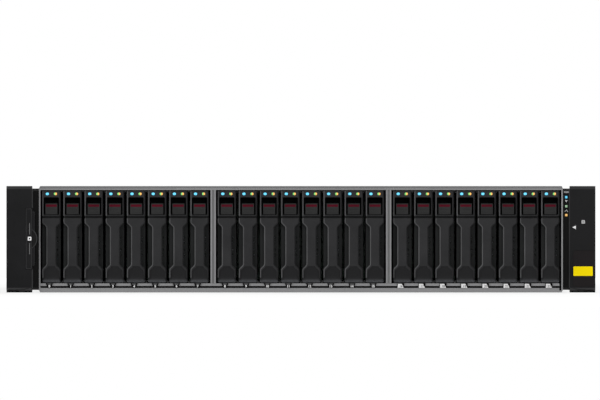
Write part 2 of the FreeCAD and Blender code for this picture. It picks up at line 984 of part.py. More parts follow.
def controller_lever(foot):
    z0 = foot + arm_rise - arm_height / 2
    z1 = foot + arm_rise + arm_height / 2
    y0 = arm_pivot_y - arm_thick / 2
    arm = block(
        arm_pivot_x, arm_pivot_x + arm_length, y0, y0 + arm_thick, z0, z1,
    )
    tips = edges_where(
        arm,
        lambda e: runs_along(e, Vector(0, 1, 0)) and e.Vertexes[0].Point.x > arm_pivot_x + 1,
    )
    arm = arm.makeFillet(arm_height / 3, tips)
    arm = joined(arm, rod_z(arm_heel - fit_gap, z0, z1, arm_pivot_x, arm_pivot_y))
    return [arm.cut(rod_z(arm_pin + pin_gap, z0 - 1, z1 + 1, arm_pivot_x, arm_pivot_y))]


def fan_guard_cut(side):
    middle = side * fan_middle_x
    z = power_middle_z
    y0 = body_back - face_thick - 1
    y1 = body_back + 1
    pitch = (fan_bore - fan_hub / 2) / guard_rings
    cut = None
    for n in range(guard_rings):
        outer = fan_bore - n * pitch
        inner = outer - pitch + guard_ring
        ring = rod_y(outer, y0, y1, middle, z).cut(rod_y(inner, y0 - 1, y1 + 1, middle, z))
        cut = ring if cut is None else cut.fuse(ring)
    spoke = guard_spoke / 2
    across = block(middle - fan_bore, middle + fan_bore, y0 - 1, y1 + 1, z - spoke, z + spoke)
    upright = block(middle - spoke, middle + spoke, y0 - 1, y1 + 1, z - fan_bore, z + fan_bore)
    return cut.cut(across).cut(upright)


def power_case(side):
    foot = lower_foot
    top = cover_underside - fit_gap
    shell = block(side * power_inner, side * power_outer, module_front, body_back, foot, top)
    shell = shell.cut(block(
        side * (power_inner + power_wall), side * (power_outer - power_wall),
        module_front + power_wall, body_back - face_thick, foot + power_wall, top - power_wall,
    ))
    shell = shell.cut(fan_guard_cut(side))
    inlet_x = side * (power_inner + inlet_side)
    inlet_z = foot + inlet_rise
    shell = shell.cut(block(
        inlet_x - inlet_width / 2 - press_gap, inlet_x + inlet_width / 2 + press_gap,
        body_back - face_thick - 1, body_back + 1,
        inlet_z - inlet_height / 2 - press_gap, inlet_z + inlet_height / 2 + press_gap,
    ))
    outer_w = switch_width / 2 + switch_wall + press_gap
    outer_h = switch_height / 2 + switch_wall + press_gap
    switch_x = side * switch_middle_x
    shell = shell.cut(block(
        switch_x - outer_w, switch_x + outer_w, body_back - face_thick - 1, body_back + 1,
        switch_middle_z - outer_h, switch_middle_z + outer_h,
    ))
    board_top = foot + power_wall + fit_gap + power_board
    board = block(
        side * (power_inner + 3 * power_wall), side * (power_outer - 3 * power_wall),
        module_front + 3 * power_wall, body_back - fan_frame - fan_depth,
        foot + power_wall + fit_gap, board_top,
    )
    choke = block(
        side * (power_inner + power_width / 4), side * (power_outer - power_width / 4),
        module_front + module_length / 3, module_front + module_length / 2,
        board_top, board_top + module_height,
    )
    fittings = [fan_housing(side), power_inlet(side), switch_housing(side)]
    return [shell, board, choke] + handle_ears(side) + fittings


def handle_ears(side):
    x = side * handle_middle_x
    half = handle_width / 2 + fit_gap
    end = half + handle_ear
    hole = rod_x(handle_pin + press_gap, x - end - 1, x + end + 1, handle_pivot_y, handle_pivot_z)
    ears = []
    for edge in (-1, 1):
        x0 = x + edge * half
        x1 = x + edge * end
        plate = block(
            x0, x1, body_back, handle_pivot_y, handle_pivot_z - handle_heel, handle_pivot_z + handle_heel,
        )
        nose = rod_x(handle_heel, x0, x1, handle_pivot_y, handle_pivot_z)
        ears.append(joined(plate, nose).cut(hole))
    pin = rod_x(handle_pin, x - end, x + end, handle_pivot_y, handle_pivot_z)
    return ears + [pin]


def power_handle(side):
    x = side * handle_middle_x
    half = handle_width / 2
    y0 = handle_pivot_y - handle_thick / 2
    bar = block(
        x - half, x + half, y0, y0 + handle_thick, handle_pivot_z, handle_pivot_z + handle_height,
    )
    tips = edges_where(
        bar,
        lambda e: runs_along(e, Vector(0, 1, 0)) and e.Vertexes[0].Point.z > handle_pivot_z + 1,
    )
    bar = bar.makeFillet(handle_width / 3, tips)
    heel = rod_x(handle_heel - fit_gap, x - half, x + half, handle_pivot_y, handle_pivot_z)
    bar = joined(bar, heel)
    return [bar.cut(rod_x(handle_pin + pin_gap, x - half - 1, x + half + 1, handle_pivot_y, handle_pivot_z))]


def fan_housing(side):
    x = side * fan_middle_x
    z = power_middle_z
    half = fan_frame / 2
    back = body_back - face_thick
    front = back - fan_depth
    frame = block(x - half, x + half, front, back, z - half, z + half)
    frame = frame.cut(rod_y(fan_bore, front - 1, back + 1, x, z))
    spider = rod_y(fan_hub, front, front + fan_strut, x, z)
    arms = [
        block(x - fan_bore - 1, x + fan_bore + 1, front, front + fan_strut,
              z - fan_strut / 2, z + fan_strut / 2),
        block(x - fan_strut / 2, x + fan_strut / 2, front, front + fan_strut,
              z - fan_bore - 1, z + fan_bore + 1),
    ]
    shaft = rod_y(fan_shaft, front, back - fit_gap, x, z)
    return joined(frame, spider, shaft, *arms)


def power_fan(side):
    x = side * fan_middle_x
    z = power_middle_z
    back = body_back - face_thick - 2 * fit_gap
    front = body_back - face_thick - fan_depth + fan_strut + fit_gap
    hub = rod_y(fan_hub, front, back, x, z)
    middle = (front + back) / 2
    chord = (back - front) * 0.9
    tip = fan_bore - fan_tip_gap
    rim = rod_y(tip, front, back, x, z)
    blades = []
    for n in range(fan_blades):
        blade = block(
            x, x + 2 * tip, middle - fan_blade_thick / 2, middle + fan_blade_thick / 2,
            z - chord / 2, z + chord / 2,
        )
        blade = blade.rotated(Vector(x, middle, z), Vector(1, 0, 0), fan_blade_pitch)
        blade = blade.rotated(Vector(x, middle, z), Vector(0, 1, 0), n * 360.0 / fan_blades)
        blades.append(blade.common(rim))
    rotor = joined(hub, *blades)
    return [rotor.cut(rod_y(fan_shaft + pin_gap, front - 1, back + 1, x, z))]


def power_inlet(side):
    x = side * (power_inner + inlet_side)
    z = lower_foot + inlet_rise
    half_w = inlet_width / 2
    half_h = inlet_height / 2
    front = body_back - inlet_depth
    inlet = block(x - half_w, x + half_w, front, body_back, z - half_h, z + half_h)
    inlet = inlet.cut(block(
        x - half_w + inlet_wall, x + half_w - inlet_wall, front + inlet_wall, body_back + 1,
        z - half_h + inlet_wall, z + half_h - inlet_wall,
    ))
    blades = []
    for shift, rise in ((-1, -0.4), (0, 0.4), (1, -0.4)):
        blade_x = x + shift * blade_spread
        blade_z = z + rise * blade_tall
        blades.append(block(
            blade_x - blade_wide / 2, blade_x + blade_wide / 2, front, body_back - inlet_mouth,
            blade_z - blade_tall / 2, blade_z + blade_tall / 2,
        ))
    return joined(inlet, *blades)


def switch_housing(side):
    x = side * switch_middle_x
    z = switch_middle_z
    half_w = switch_width / 2
    half_h = switch_height / 2
    front = body_back - switch_depth
    housing = block(
        x - half_w - switch_wall, x + half_w + switch_wall, front, body_back,
        z - half_h - switch_wall, z + half_h + switch_wall,
    )
    housing = housing.cut(block(
        x - half_w, x + half_w, front + switch_wall, body_back + 1, z - half_h, z + half_h,
    ))
    reach = half_w + switch_stub
    stub = rod_x(switch_pin + pin_gap, x - reach, x + reach, rocker_pivot_y(), z)
    return housing.cut(stub)


def rocker_pivot_y():
    return body_back - rocker_back


def power_switch(side):
    x = side * switch_middle_x
    z = switch_middle_z
    half_w = switch_width / 2 - fit_gap
    reach = switch_height / 2 - rocker_end_gap
    pivot = rocker_pivot_y()
    rise = reach * math.tan(math.radians(switch_tilt))
    face = rocker_back - rocker_gap
    outline = [
        (pivot - switch_pin, z - switch_pin),
        (pivot + face - rise, z - reach),
        (pivot + face + rise / 2, z - reach),
        (pivot + face - rise / 2, z),
        (pivot + face + rise / 2, z + reach),
        (pivot + face - rise, z + reach),
        (pivot - switch_pin, z + switch_pin),
    ]
    rocker = slab_x(outline, x - half_w, x + half_w)
    end = switch_width / 2 + switch_stub - fit_gap
    rocker = joined(rocker, rod_x(switch_pin, x - end, x + end, pivot, z))
    return [rocker.rotated(Vector(x, pivot, z), Vector(1, 0, 0), switch_tilt)]


def all_nodes():
    nodes = {
        "chassis_tub": chassis_tub(),
        "top_cover": top_cover(),
        "case_screws": case_screws(),
        "drive_cage": drive_cage(),
        "bay_number_strip": bay_number_strip(),
        "midplane_board": midplane_board(),
        "drive_connectors": drive_connectors(),
        "rear_bay_frame": rear_bay_frame(),
        "status_lenses": status_lenses(),
        "info_tab": info_tab(),
    }
    nodes.update(drive_nodes())
    for label, side in (("left", -1), ("right", 1)):
        nodes[f"rack_ear_{label}"] = rack_ear(side)
        nodes[f"end_cap_{label}"] = end_cap(side)
        nodes[f"ear_strip_{label}"] = ear_strip(side)
        nodes[f"power_{label}_case"] = power_case(side)
        nodes[f"power_{label}_fan"] = power_fan(side)
        nodes[f"power_{label}_handle"] = power_handle(side)
        nodes[f"power_{label}_switch"] = power_switch(side)
    for label, foot in (("upper", upper_foot), ("lower", lower_foot)):
        nodes[f"controller_{label}_tray"] = controller_tray(foot)
        nodes[f"controller_{label}_board"] = controller_board(foot)
        nodes[f"controller_{label}_lever"] = controller_lever(foot)
    return nodes


def main():
    os.makedirs("parts", exist_ok=True)
    to_origin = Vector(0, -middle_y, 0)
    for name, solids in all_nodes().items():
        shape = Part.makeCompound([solid.translated(to_origin) for solid in solids])
        shape.exportStep(f"parts/{name}.step")


if __name__ == "__main__":
    main()
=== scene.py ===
import math
import bpy
from mathutils import Matrix, Vector


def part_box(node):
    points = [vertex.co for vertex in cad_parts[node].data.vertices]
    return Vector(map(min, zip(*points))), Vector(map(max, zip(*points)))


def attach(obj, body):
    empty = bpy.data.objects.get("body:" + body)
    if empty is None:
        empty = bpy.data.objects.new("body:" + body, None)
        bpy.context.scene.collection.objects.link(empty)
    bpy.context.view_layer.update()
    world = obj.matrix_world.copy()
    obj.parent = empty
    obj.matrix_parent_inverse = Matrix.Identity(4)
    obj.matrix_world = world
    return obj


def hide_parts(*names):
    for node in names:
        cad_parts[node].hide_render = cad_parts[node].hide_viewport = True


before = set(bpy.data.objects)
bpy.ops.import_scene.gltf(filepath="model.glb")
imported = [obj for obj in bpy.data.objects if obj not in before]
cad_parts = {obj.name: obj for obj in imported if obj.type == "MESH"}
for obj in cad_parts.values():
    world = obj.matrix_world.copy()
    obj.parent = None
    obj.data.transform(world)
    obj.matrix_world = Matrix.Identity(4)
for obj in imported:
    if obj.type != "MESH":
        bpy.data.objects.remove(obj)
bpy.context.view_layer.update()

scene = bpy.context.scene
scene.view_settings.view_transform = "Standard"
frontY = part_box("drive_cage")[0].y  # front edge of the cage, every depth in mm starts here
bayNames = ["drive_%02d" % n for n in range(24)]
movingBays = [n for n in range(24) if "lever_%02d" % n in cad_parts]
print("frame loaded,", len(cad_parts), "nodes")


# small modelling helpers, sizes in mm
def atMm(x, y, z):
    return Vector((x / 1000, frontY + y / 1000, z / 1000))


def pickNone():
    bpy.ops.object.select_all(action="DESELECT")


def takeOnly(piece, *others):
    pickNone()
    for one in (piece,) + others:
        one.select_set(True)
    bpy.context.view_layer.objects.active = piece


def keptAs(name):  # names the new object and puts its place into its mesh
    piece = bpy.context.object
    piece.name = name
    bpy.ops.object.transform_apply(location=True, rotation=True, scale=True)
    return piece


def addBlock(name, low, high):
    a, b = atMm(*low), atMm(*high)
    pickNone()
    bpy.ops.mesh.primitive_cube_add(size=1, location=(a + b) / 2)
    bpy.context.object.scale = [abs(q - p) for p, q in zip(a, b)]
    return keptAs(name)


def addRod(name, start, end, radius, sides=32, endRadius=None):
    a, b = atMm(*start), atMm(*end)
    run = b - a
    pickNone()
    bpy.ops.mesh.primitive_cone_add(
        vertices=sides, radius1=radius / 1000, radius2=(endRadius or radius) / 1000, depth=run.length,
        location=(a + b) / 2, rotation=run.to_track_quat("Z", "Y").to_euler())
    return keptAs(name)


def addPost(name, x, z, start, end, radius, sides=32, endRadius=None):  # rod along Y
    return addRod(name, (x, start, z), (x, end, z), radius, sides, endRadius)


def addAround(name, x, z, halfWide, halfTall, start, end):  # block round a line along Y
    return addBlock(name, (x - halfWide, start, z - halfTall), (x + halfWide, end, z + halfTall))


def crossBlocks(name, x, z, long, thin, start, end):  # a flat bar and an upright bar that cross
    return [addAround(name, x, z, wide, tall, start, end) for wide, tall in ((long, thin), (thin, long))]


def addRing(name, middle, radius, wire, sides):  # wire ring round the Y axis
    pickNone()
    bpy.ops.mesh.primitive_torus_add(
        major_segments=sides, minor_segments=10, major_radius=radius / 1000, minor_radius=wire / 1000,
        location=atMm(*middle), rotation=(math.pi / 2, 0, 0))
    return keptAs(name)


def addOutline(name, outline, start, end, along="y"):  # flat outline pushed along one axis
    pickNone()
    bpy.ops.mesh.primitive_circle_add(vertices=len(outline), radius=0.01, fill_type="NGON")
    piece = bpy.context.object
    piece.name = name
    for vert, (p, q) in zip(piece.data.vertices, outline):
        vert.co = {"x": atMm(start, p, q), "y": atMm(p, start, q), "z": atMm(p, q, start)}[along]
    push = [0, 0, 0]
    push["xyz".index(along)] = (end - start) / 1000
    bpy.ops.object.mode_set(mode="EDIT")
    bpy.ops.mesh.select_all(action="SELECT")
    bpy.ops.mesh.extrude_region_move(TRANSFORM_OT_translate={"value": push})
    bpy.ops.mesh.select_all(action="SELECT")
    bpy.ops.mesh.normals_make_consistent(inside=False)
    bpy.ops.object.mode_set(mode="OBJECT")
    return piece


def roundedRect(x0, x1, z0, z1, radius, steps=5):
    points = []
    for cx, cz, first in ((x1, z1, 0), (x0, z1, 90), (x0, z0, 180), (x1, z0, 270)):
        mx = cx - math.copysign(radius, cx - (x0 + x1) / 2)
        mz = cz - math.copysign(radius, cz - (z0 + z1) / 2)
        for n in range(steps + 1):
            turn = math.radians(first + 90 * n / steps)
            points.append((mx + radius * math.cos(turn), mz + radius * math.sin(turn)))
    return points


def roundedAt(x, z, halfWide, halfTall, radius, steps=5):
    return roundedRect(x - halfWide, x + halfWide, z - halfTall, z + halfTall, radius, steps)


def mirrored(points):  # the other half of an outline, in the order that closes it
    return [(-x, z) for x, z in reversed(points)]


def carve(piece, *cutters):
    for cutter in cutters:
        takeOnly(piece)
        cut = piece.modifiers.new("cut", "BOOLEAN")
        cut.material_mode = "TRANSFER" if cutter.data.materials else "INDEX"
        cut.operation = "DIFFERENCE"
        cut.solver = "EXACT"
        cut.object = cutter
        bpy.ops.object.modifier_apply(modifier="cut")
        bpy.data.objects.remove(cutter)
    return piece


def joinUp(piece, *others):
    takeOnly(piece, *others)
    bpy.ops.object.join()
    return piece


def softEdges(piece, width, segments=2, angle=40, clamp=True):  # width 0 only smooths the shading
    takeOnly(piece)
    if width:
        edge = piece.modifiers.new("softEdge", "BEVEL")
        edge.width = width / 1000
        edge.segments = segments
        edge.use_clamp_overlap = clamp
        edge.limit_method = "ANGLE"
        edge.angle_limit = math.radians(angle)
        bpy.ops.object.modifier_apply(modifier="softEdge")
        weld = piece.modifiers.new("weld", "WELD")
        weld.merge_threshold = 0.000003
        bpy.ops.object.modifier_apply(modifier="weld")
    bpy.ops.object.shade_smooth_by_angle(angle=math.radians(20))
    return piece


def paint(piece, finish):
    piece.data.materials.clear()
    piece.data.materials.append(finish)
    return piece


def dressed(piece, finish, width=0.0, segments=2, angle=40):
    return paint(softEdges(piece, width, segments, angle), finish)


def paintFaces(piece, finish, chosen):  # a further finish on the faces that the test picks
    piece.data.materials.append(finish)
    for face in piece.data.polygons:
        if chosen(face):
            face.material_index = len(piece.data.materials) - 1
    return piece


def paintRims(piece, finish, mostRight=1.0, mostUp=1.0):  # painted highlight: a paler finish on the slanted faces that look forward
    def slanted(face):
        right, back, up = face.normal
        return 0.35 < -back < 0.95 and right < mostRight and up < mostUp
    return paintFaces(piece, finish, slanted)


def settle(piece, body, slotName, *nodes):
    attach(piece, body)
    if nodes:
        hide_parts(*nodes)
    return piece


def addText(name, words, tall, middle, finish, turn=0.0, bold=0.0):  # plain figures printed on a face
    pickNone()
    bpy.ops.object.text_add(location=atMm(*middle), rotation=(math.pi / 2, 0, math.radians(turn)))
    figure = bpy.context.object.data
    figure.body = words
    figure.align_x = "CENTER"
    figure.align_y = "CENTER"
    figure.size = tall / 700  # a capital is seven tenths of the letter size
    figure.extrude = 0.02 / 1000
    figure.offset = bold / 1000
    figure.resolution_u = 3
    bpy.ops.object.convert(target="MESH")
    return paint(keptAs(name), finish)


def mirrorAcross(piece):  # the same piece on the other side of the middle plane
    piece.data.transform(Matrix.Diagonal((-1, 1, 1, 1)))
    piece.data.flip_normals()
    return piece


def copyAside(piece, name, dx=0.0):  # own mesh, moved sideways inside the mesh, in metres
    twin = piece.copy()
    twin.data = piece.data.copy()
    twin.data.transform(Matrix.Translation((dx, 0, 0)))
    twin.name = name
    scene.collection.objects.link(twin)
    return twin


def fromScreen(*tone):  # screen colour 0 to 255 to a shader colour
    return [((c / 255 + 0.055) / 1.055) ** 2.4 if c > 10 else c / 255 / 12.92 for c in tone] + [1.0]


def shade(tone, share, lift=0.0):
    return [min(1.0, c * share + lift) for c in tone[:3]] + [1.0]


# shared effects for the finishes
def feed(tree, value, socket):  # a link, or a fixed value on the socket itself
    if isinstance(value, bpy.types.NodeSocket):
        tree.links.new(value, socket)
    else:
        socket.default_value = value


def feedAll(tree, node, **inputs):  # inputs by name, with _ for a space
    for label, value in inputs.items():
        feed(tree, value, node.inputs[label.replace("_", " ")])
    return node


def addNode(tree, kind, **inputs):
    return feedAll(tree, tree.nodes.new("ShaderNode" + kind), **inputs)


def mathNode(tree, operation, *values, kind="Math"):
    node = addNode(tree, kind)
    node.operation = operation
    for value, socket in zip(values, node.inputs):
        feed(tree, value, socket)
    return node.outputs[0]


def objectPlace(tree):
    return addNode(tree, "TexCoord").outputs["Object"]


def alongAxis(tree, vector, axis):
    return addNode(tree, "SeparateXYZ", Vector=vector).outputs[axis]


def noiseNode(tree, place, scale, detail, rough):
    return addNode(tree, "TexNoise", Vector=place, Scale=scale, Detail=detail, Roughness=rough).outputs


def spread(tree, value, low, high, fromLow=0.3, fromHigh=0.7):
    fit = addNode(tree, "MapRange", Value=value, From_Min=fromLow, From_Max=fromHigh)
    return feedAll(tree, fit, To_Min=low, To_Max=high).outputs["Result"]


def newGroup(name, inputs, outputs):
    group = bpy.data.node_groups.new(name, "ShaderNodeTree")
    for label, value in inputs.items():
        socket = group.interface.new_socket(label, in_out="INPUT", socket_type="NodeSocketFloat")
        socket.default_value = value
    for label in outputs:
        group.interface.new_socket(label, in_out="OUTPUT", socket_type="NodeSocketFloat")
    return group, group.nodes.new("NodeGroupInput").outputs, group.nodes.new("NodeGroupOutput")


def makeMouldGrain():  # spark-eroded skin of a moulded plastic, with soft shine patches
    group, given, end = newGroup("mouldGrain", {"Fineness": 2600.0}, ["Height", "Patch"])
    place = objectPlace(group)
    feedAll(group, end, Height=noiseNode(group, place, given["Fineness"], 2.0, 0.6)["Fac"],
            Patch=noiseNode(group, place, 38.0, 4.0, 0.6)["Fac"])
    return group


def makeRolledLines():  # fine lines left by rolling, along X, Y or Z by the stretch given
    stretches = {"Across X": 900.0, "Across Y": 12.0, "Across Z": 900.0}
    group, given, end = newGroup("rolledLines", stretches, ["Height", "Cloud"])
    place = objectPlace(group)
    stretch = addNode(group, "CombineXYZ", X=given["Across X"], Y=given["Across Y"], Z=given["Across Z"])
    mapped = mathNode(group, "MULTIPLY", place, stretch.outputs[0], kind="VectorMath")
    feedAll(group, end, Height=noiseNode(group, mapped, 1.0, 3.0, 0.55)["Fac"],
            Cloud=noiseNode(group, place, 14.0, 4.0, 0.55)["Fac"])
    return group


def makeZincFlake():  # flower pattern of hot-dip zinc
    group, given, end = newGroup("zincFlake", {"Flakes": 95.0}, ["Flake", "Cloud"])
    place = objectPlace(group)
    warp = noiseNode(group, place, 60.0, 2.0, 0.5)["Color"]
    bent = mathNode(group, "MULTIPLY_ADD", warp, (0.012, 0.012, 0.012), place, kind="VectorMath")
    cells = addNode(group, "TexVoronoi", Vector=bent, Scale=given["Flakes"])
    grey = addNode(group, "SeparateColor", Color=cells.outputs["Color"])
    feedAll(group, end, Flake=grey.outputs[0], Cloud=noiseNode(group, place, 9.0, 5.0, 0.6)["Fac"])
    return group


def makeShelfDust():  # thin dust that settles on faces that look up
    group, given, end = newGroup("shelfDust", {"Amount": 0.25}, ["Dust"])
    facing = addNode(group, "NewGeometry").outputs["Normal"]
    up = spread(group, alongAxis(group, facing, "Z"), 0.0, 1.0, 0.6, 1.0)
    cloud = noiseNode(group, objectPlace(group), 70.0, 6.0, 0.7)["Fac"]
    lay = mathNode(group, "MULTIPLY", up, spread(group, cloud, 0.0, 1.0, 0.35, 0.75))
    feedAll(group, end, Dust=mathNode(group, "MULTIPLY", lay, given["Amount"]))
    return group


mouldGrain = makeMouldGrain()
rolledLines = makeRolledLines()
zincFlake = makeZincFlake()
shelfDust = makeShelfDust()


def newFinish(name):
    finish = bpy.data.materials.new(name)
    finish.use_nodes = True
    tree = finish.node_tree
    return finish, tree, tree.nodes["Principled BSDF"]


def placeGroup(tree, group, **inputs):
    node = addNode(tree, "Group")
    node.node_tree = group
    return feedAll(tree, node, **inputs).outputs


def mixTones(tree, factor, first, second):
    mix = addNode(tree, "Mix")
    mix.data_type = "RGBA"
    feed(tree, factor, mix.inputs[0])
    feed(tree, first, mix.inputs[6])
    feed(tree, second, mix.inputs[7])
    return mix.outputs[2]


def dusted(tree, colour, amount, tone):
    return mixTones(tree, placeGroup(tree, shelfDust, Amount=amount)["Dust"], colour, fromScreen(*tone))


def bumpFrom(tree, height, strength, depth):
    return addNode(tree, "Bump", Strength=strength, Distance=depth / 1000, Height=height).outputs["Normal"]


def plasticFinish(name, screenTone, rough=0.5, shine=0.25, fineness=2600.0, grain=0.25, dust=0.12):
    finish, tree, shader = newFinish(name)
    tone = fromScreen(*screenTone)
    skin = placeGroup(tree, mouldGrain, Fineness=fineness)
    patch = skin["Patch"]
    colour = mixTones(tree, spread(tree, patch, 0, 1), shade(tone, 0.84), shade(tone, 1.22, 0.0006))
    feedAll(tree, shader, Base_Color=dusted(tree, colour, dust, (120, 116, 108)), Specular_IOR_Level=shine,
            Roughness=spread(tree, patch, rough - 0.07, rough + 0.07),
            Normal=bumpFrom(tree, skin["Height"], grain, 0.06))
    return finish


# paler towards the scoop's foot: painted highlight where the foot turns up to the light
scoopFootHighlight = {"from": 14.2, "to": 7.9, "bend": 6.0, "speckle": 900.0, "tone": fromScreen(32, 32, 33),
             "pale": fromScreen(152, 154, 157), "palest": fromScreen(192, 195, 202)}


def makeScoopFinish():  # thumb scoop, speckled, with a painted highlight growing paler towards its foot
    w = scoopFootHighlight
    finish, tree, shader = newFinish("scoopGrey")
    skin = placeGroup(tree, mouldGrain, Fineness=1400.0)
    place = objectPlace(tree)
    foot = spread(tree, alongAxis(tree, place, "Z"), 0.0, 1.0, w["from"] / 1000, w["to"] / 1000)
    speckle = noiseNode(tree, place, w["speckle"], 2.0, 0.6)["Fac"]
    pale = mixTones(tree, spread(tree, speckle, 0, 1), w["pale"], w["palest"])
    # painted highlight: the colour turns pale near the foot
    footHighlight = mathNode(tree, "POWER", foot, w["bend"])
    feedAll(tree, shader, Base_Color=mixTones(tree, footHighlight, w["tone"], pale),
            Roughness=spread(tree, skin["Patch"], 0.42, 0.56), Specular_IOR_Level=0.06,
            Normal=bumpFrom(tree, skin["Height"], 0.45, 0.06))
    return finish


def rolledFinish(name, screenTone, metal, rough, stretch, streak, dust, recess=None):
    finish, tree, shader = newFinish(name)
    tone = fromScreen(*screenTone)
    lines = placeGroup(tree, rolledLines, Across_X=stretch[0], Across_Y=stretch[1], Across_Z=stretch[2])
    height = lines["Height"]
    colour = mixTones(tree, spread(tree, height, 0, 1), shade(tone, 1 - streak), shade(tone, 1 + streak))
    colour = dusted(tree, colour, dust, (150, 147, 140))
    if recess:  # painted shade: darker in what lies behind the front edges
        near, far, darker = recess
        depth = alongAxis(tree, objectPlace(tree), "Y")
        behind = spread(tree, depth, 0.0, 1.0, frontY + near / 1000, frontY + far / 1000)
        colour = mixTones(tree, behind, colour, shade(tone, darker))
    feedAll(tree, shader, Base_Color=colour, Metallic=metal, Normal=bumpFrom(tree, height, 0.12, 0.03),
            Roughness=spread(tree, lines["Cloud"], rough - 0.08, rough + 0.08))
    return finish


def zincFinish(name, screenTone, rough=0.58, metal=0.6, dust=0.12):
    finish, tree, shader = newFinish(name)
    tone = fromScreen(*screenTone)
    zinc = placeGroup(tree, zincFlake, Flakes=95.0)
    flake = zinc["Flake"]
    colour = mixTones(tree, spread(tree, flake, 0, 1, 0.0, 1.0), shade(tone, 0.86), shade(tone, 1.16))
    feedAll(tree, shader, Base_Color=dusted(tree, colour, dust, (150, 147, 141)), Metallic=metal,
            Roughness=spread(tree, flake, rough - 0.07, rough + 0.09, 0.0, 1.0),
            Normal=bumpFrom(tree, zinc["Cloud"], 0.08, 0.2))
    return finish


def lampFinish(name, screenTone, strength):  # moulded lens with a lit diode behind it
    finish, tree, shader = newFinish(name)
    tone = fromScreen(*screenTone)
    skin = placeGroup(tree, mouldGrain, Fineness=900.0)
    colour = mixTones(tree, spread(tree, skin["Height"], 0, 1), shade(tone, 0.8), tone)
    feedAll(tree, shader, Base_Color=colour, Roughness=0.3)
    feedAll(tree, shader, Emission_Color=colour, Emission_Strength=strength)
    return finish


def inkFinish(name, screenTone, rough=0.6, shine=0.15):  # printed mark or label film
    finish, tree, shader = newFinish(name)
    tone = fromScreen(*screenTone)
    skin = placeGroup(tree, mouldGrain, Fineness=4200.0)
    colour = mixTones(tree, spread(tree, skin["Patch"], 0, 1), shade(tone, 0.9), tone)
    feedAll(tree, shader, Base_Color=colour, Specular_IOR_Level=shine,
            Roughness=spread(tree, skin["Height"], rough - 0.05, rough + 0.1))
    return finish


carrierGrey = plasticFinish("carrierGrey", (42, 42, 43), 0.44, 0.07)
leverGrey = plasticFinish("leverGrey", (42, 42, 43), 0.42, 0.07)
# pale grey for the carriers' left-facing chamfers: painted highlight
rimHighlightGrey = plasticFinish("rimHighlightGrey", (80, 80, 81), 0.4, 0.12)
plateGrey = plasticFinish("plateGrey", (34, 35, 35), 0.6, 0.04, dust=0.05)
scoopGrey = makeScoopFinish()
buttonGrey = plasticFinish("buttonGrey", (43, 43, 43), 0.45, 0.07)
capGrey = plasticFinish("capGrey", (22, 22, 23), 0.48, 0.07, 1800.0, 0.3)
# paler copies of the cap and strip plastics for their chamfers: painted highlights
capRim = plasticFinish("capRim", (43, 43, 44), 0.42, 0.1, 1800.0, 0.2)
lipRimHighlight = plasticFinish("lipRimHighlight", (60, 60, 61), 0.42, 0.1, 1800.0, 0.2)
stripRimHighlight = plasticFinish("stripRimHighlight", (46, 46, 46), 0.45, 0.08)
stripBlack = plasticFinish("stripBlack", (23, 23, 23), 0.55, 0.05)
# near-black: painted shade in the window cup, the cap's foot gap and the number slot; also the real black of
# the number holders
recessBlack = plasticFinish("recessBlack", (6, 6, 6), 0.7, 0.05, dust=0.02)
connectorBlack = plasticFinish("connectorBlack", (24, 24, 24), 0.5, 0.3)
releaseRed = plasticFinish("releaseRed", (74, 8, 24), 0.4, 0.04, dust=0.02)
earBlack = plasticFinish("earBlack", (28, 28, 28), 0.4, 0.4, 900.0, 0.2)
boardGreen = plasticFinish("boardGreen", (18, 74, 46), 0.35, 0.5, 1500.0, 0.1, 0.03)
uprightLines = (900.0, 900.0, 12.0)
# cage steel, painted darker on faces more than 1 mm behind the front: painted shade in the recesses
cageGrey = rolledFinish("cageGrey", (122, 122, 123), 0.25, 0.5, uprightLines, 0.06, 0.06, (0.65, 1.0, 0.66))
lipGrey = rolledFinish("lipGrey", (103, 103, 104), 0.25, 0.5, uprightLines, 0.06, 0.06)
driveCase = rolledFinish("driveCase", (118, 120, 124), 0.85, 0.36, (14.0, 700.0, 700.0), 0.1, 0.04)
screwSteel = rolledFinish("screwSteel", (190, 191, 193), 0.95, 0.28, (300.0, 300.0, 300.0), 0.08, 0.02)
copperWire = rolledFinish("copperWire", (164, 96, 58), 0.8, 0.35, (40.0, 900.0, 900.0), 0.15, 0.02)
zincSheet = zincFinish("zincSheet", (134, 136, 138))
moduleZinc = zincFinish("moduleZinc", (156, 158, 160), 0.36, 0.8, 0.05)
blueLamp = lampFinish("blueLamp", (100, 210, 248), 0.56)
greenLamp = lampFinish("greenLamp", (122, 200, 104), 0.56)
amberLamp = lampFinish("amberLamp", (242, 178, 86), 0.56)
paleGreenLamp = lampFinish("paleGreenLamp", (150, 186, 150), 0.5)
paleAmberLamp = lampFinish("paleAmberLamp", (250, 196, 110), 0.55)
whiteInk = inkFinish("whiteInk", (232, 232, 232))
silverInk = inkFinish("silverInk", (182, 182, 182))
greyInk = inkFinish("greyInk", (112, 112, 112))
blackInk = inkFinish("blackInk", (20, 20, 20))
yellowFilm = inkFinish("yellowFilm", (255, 228, 0), 0.5, 0.05)
panelFilm = inkFinish("panelFilm", (29, 26, 27), 0.35, 0.05)
print("finishes made")


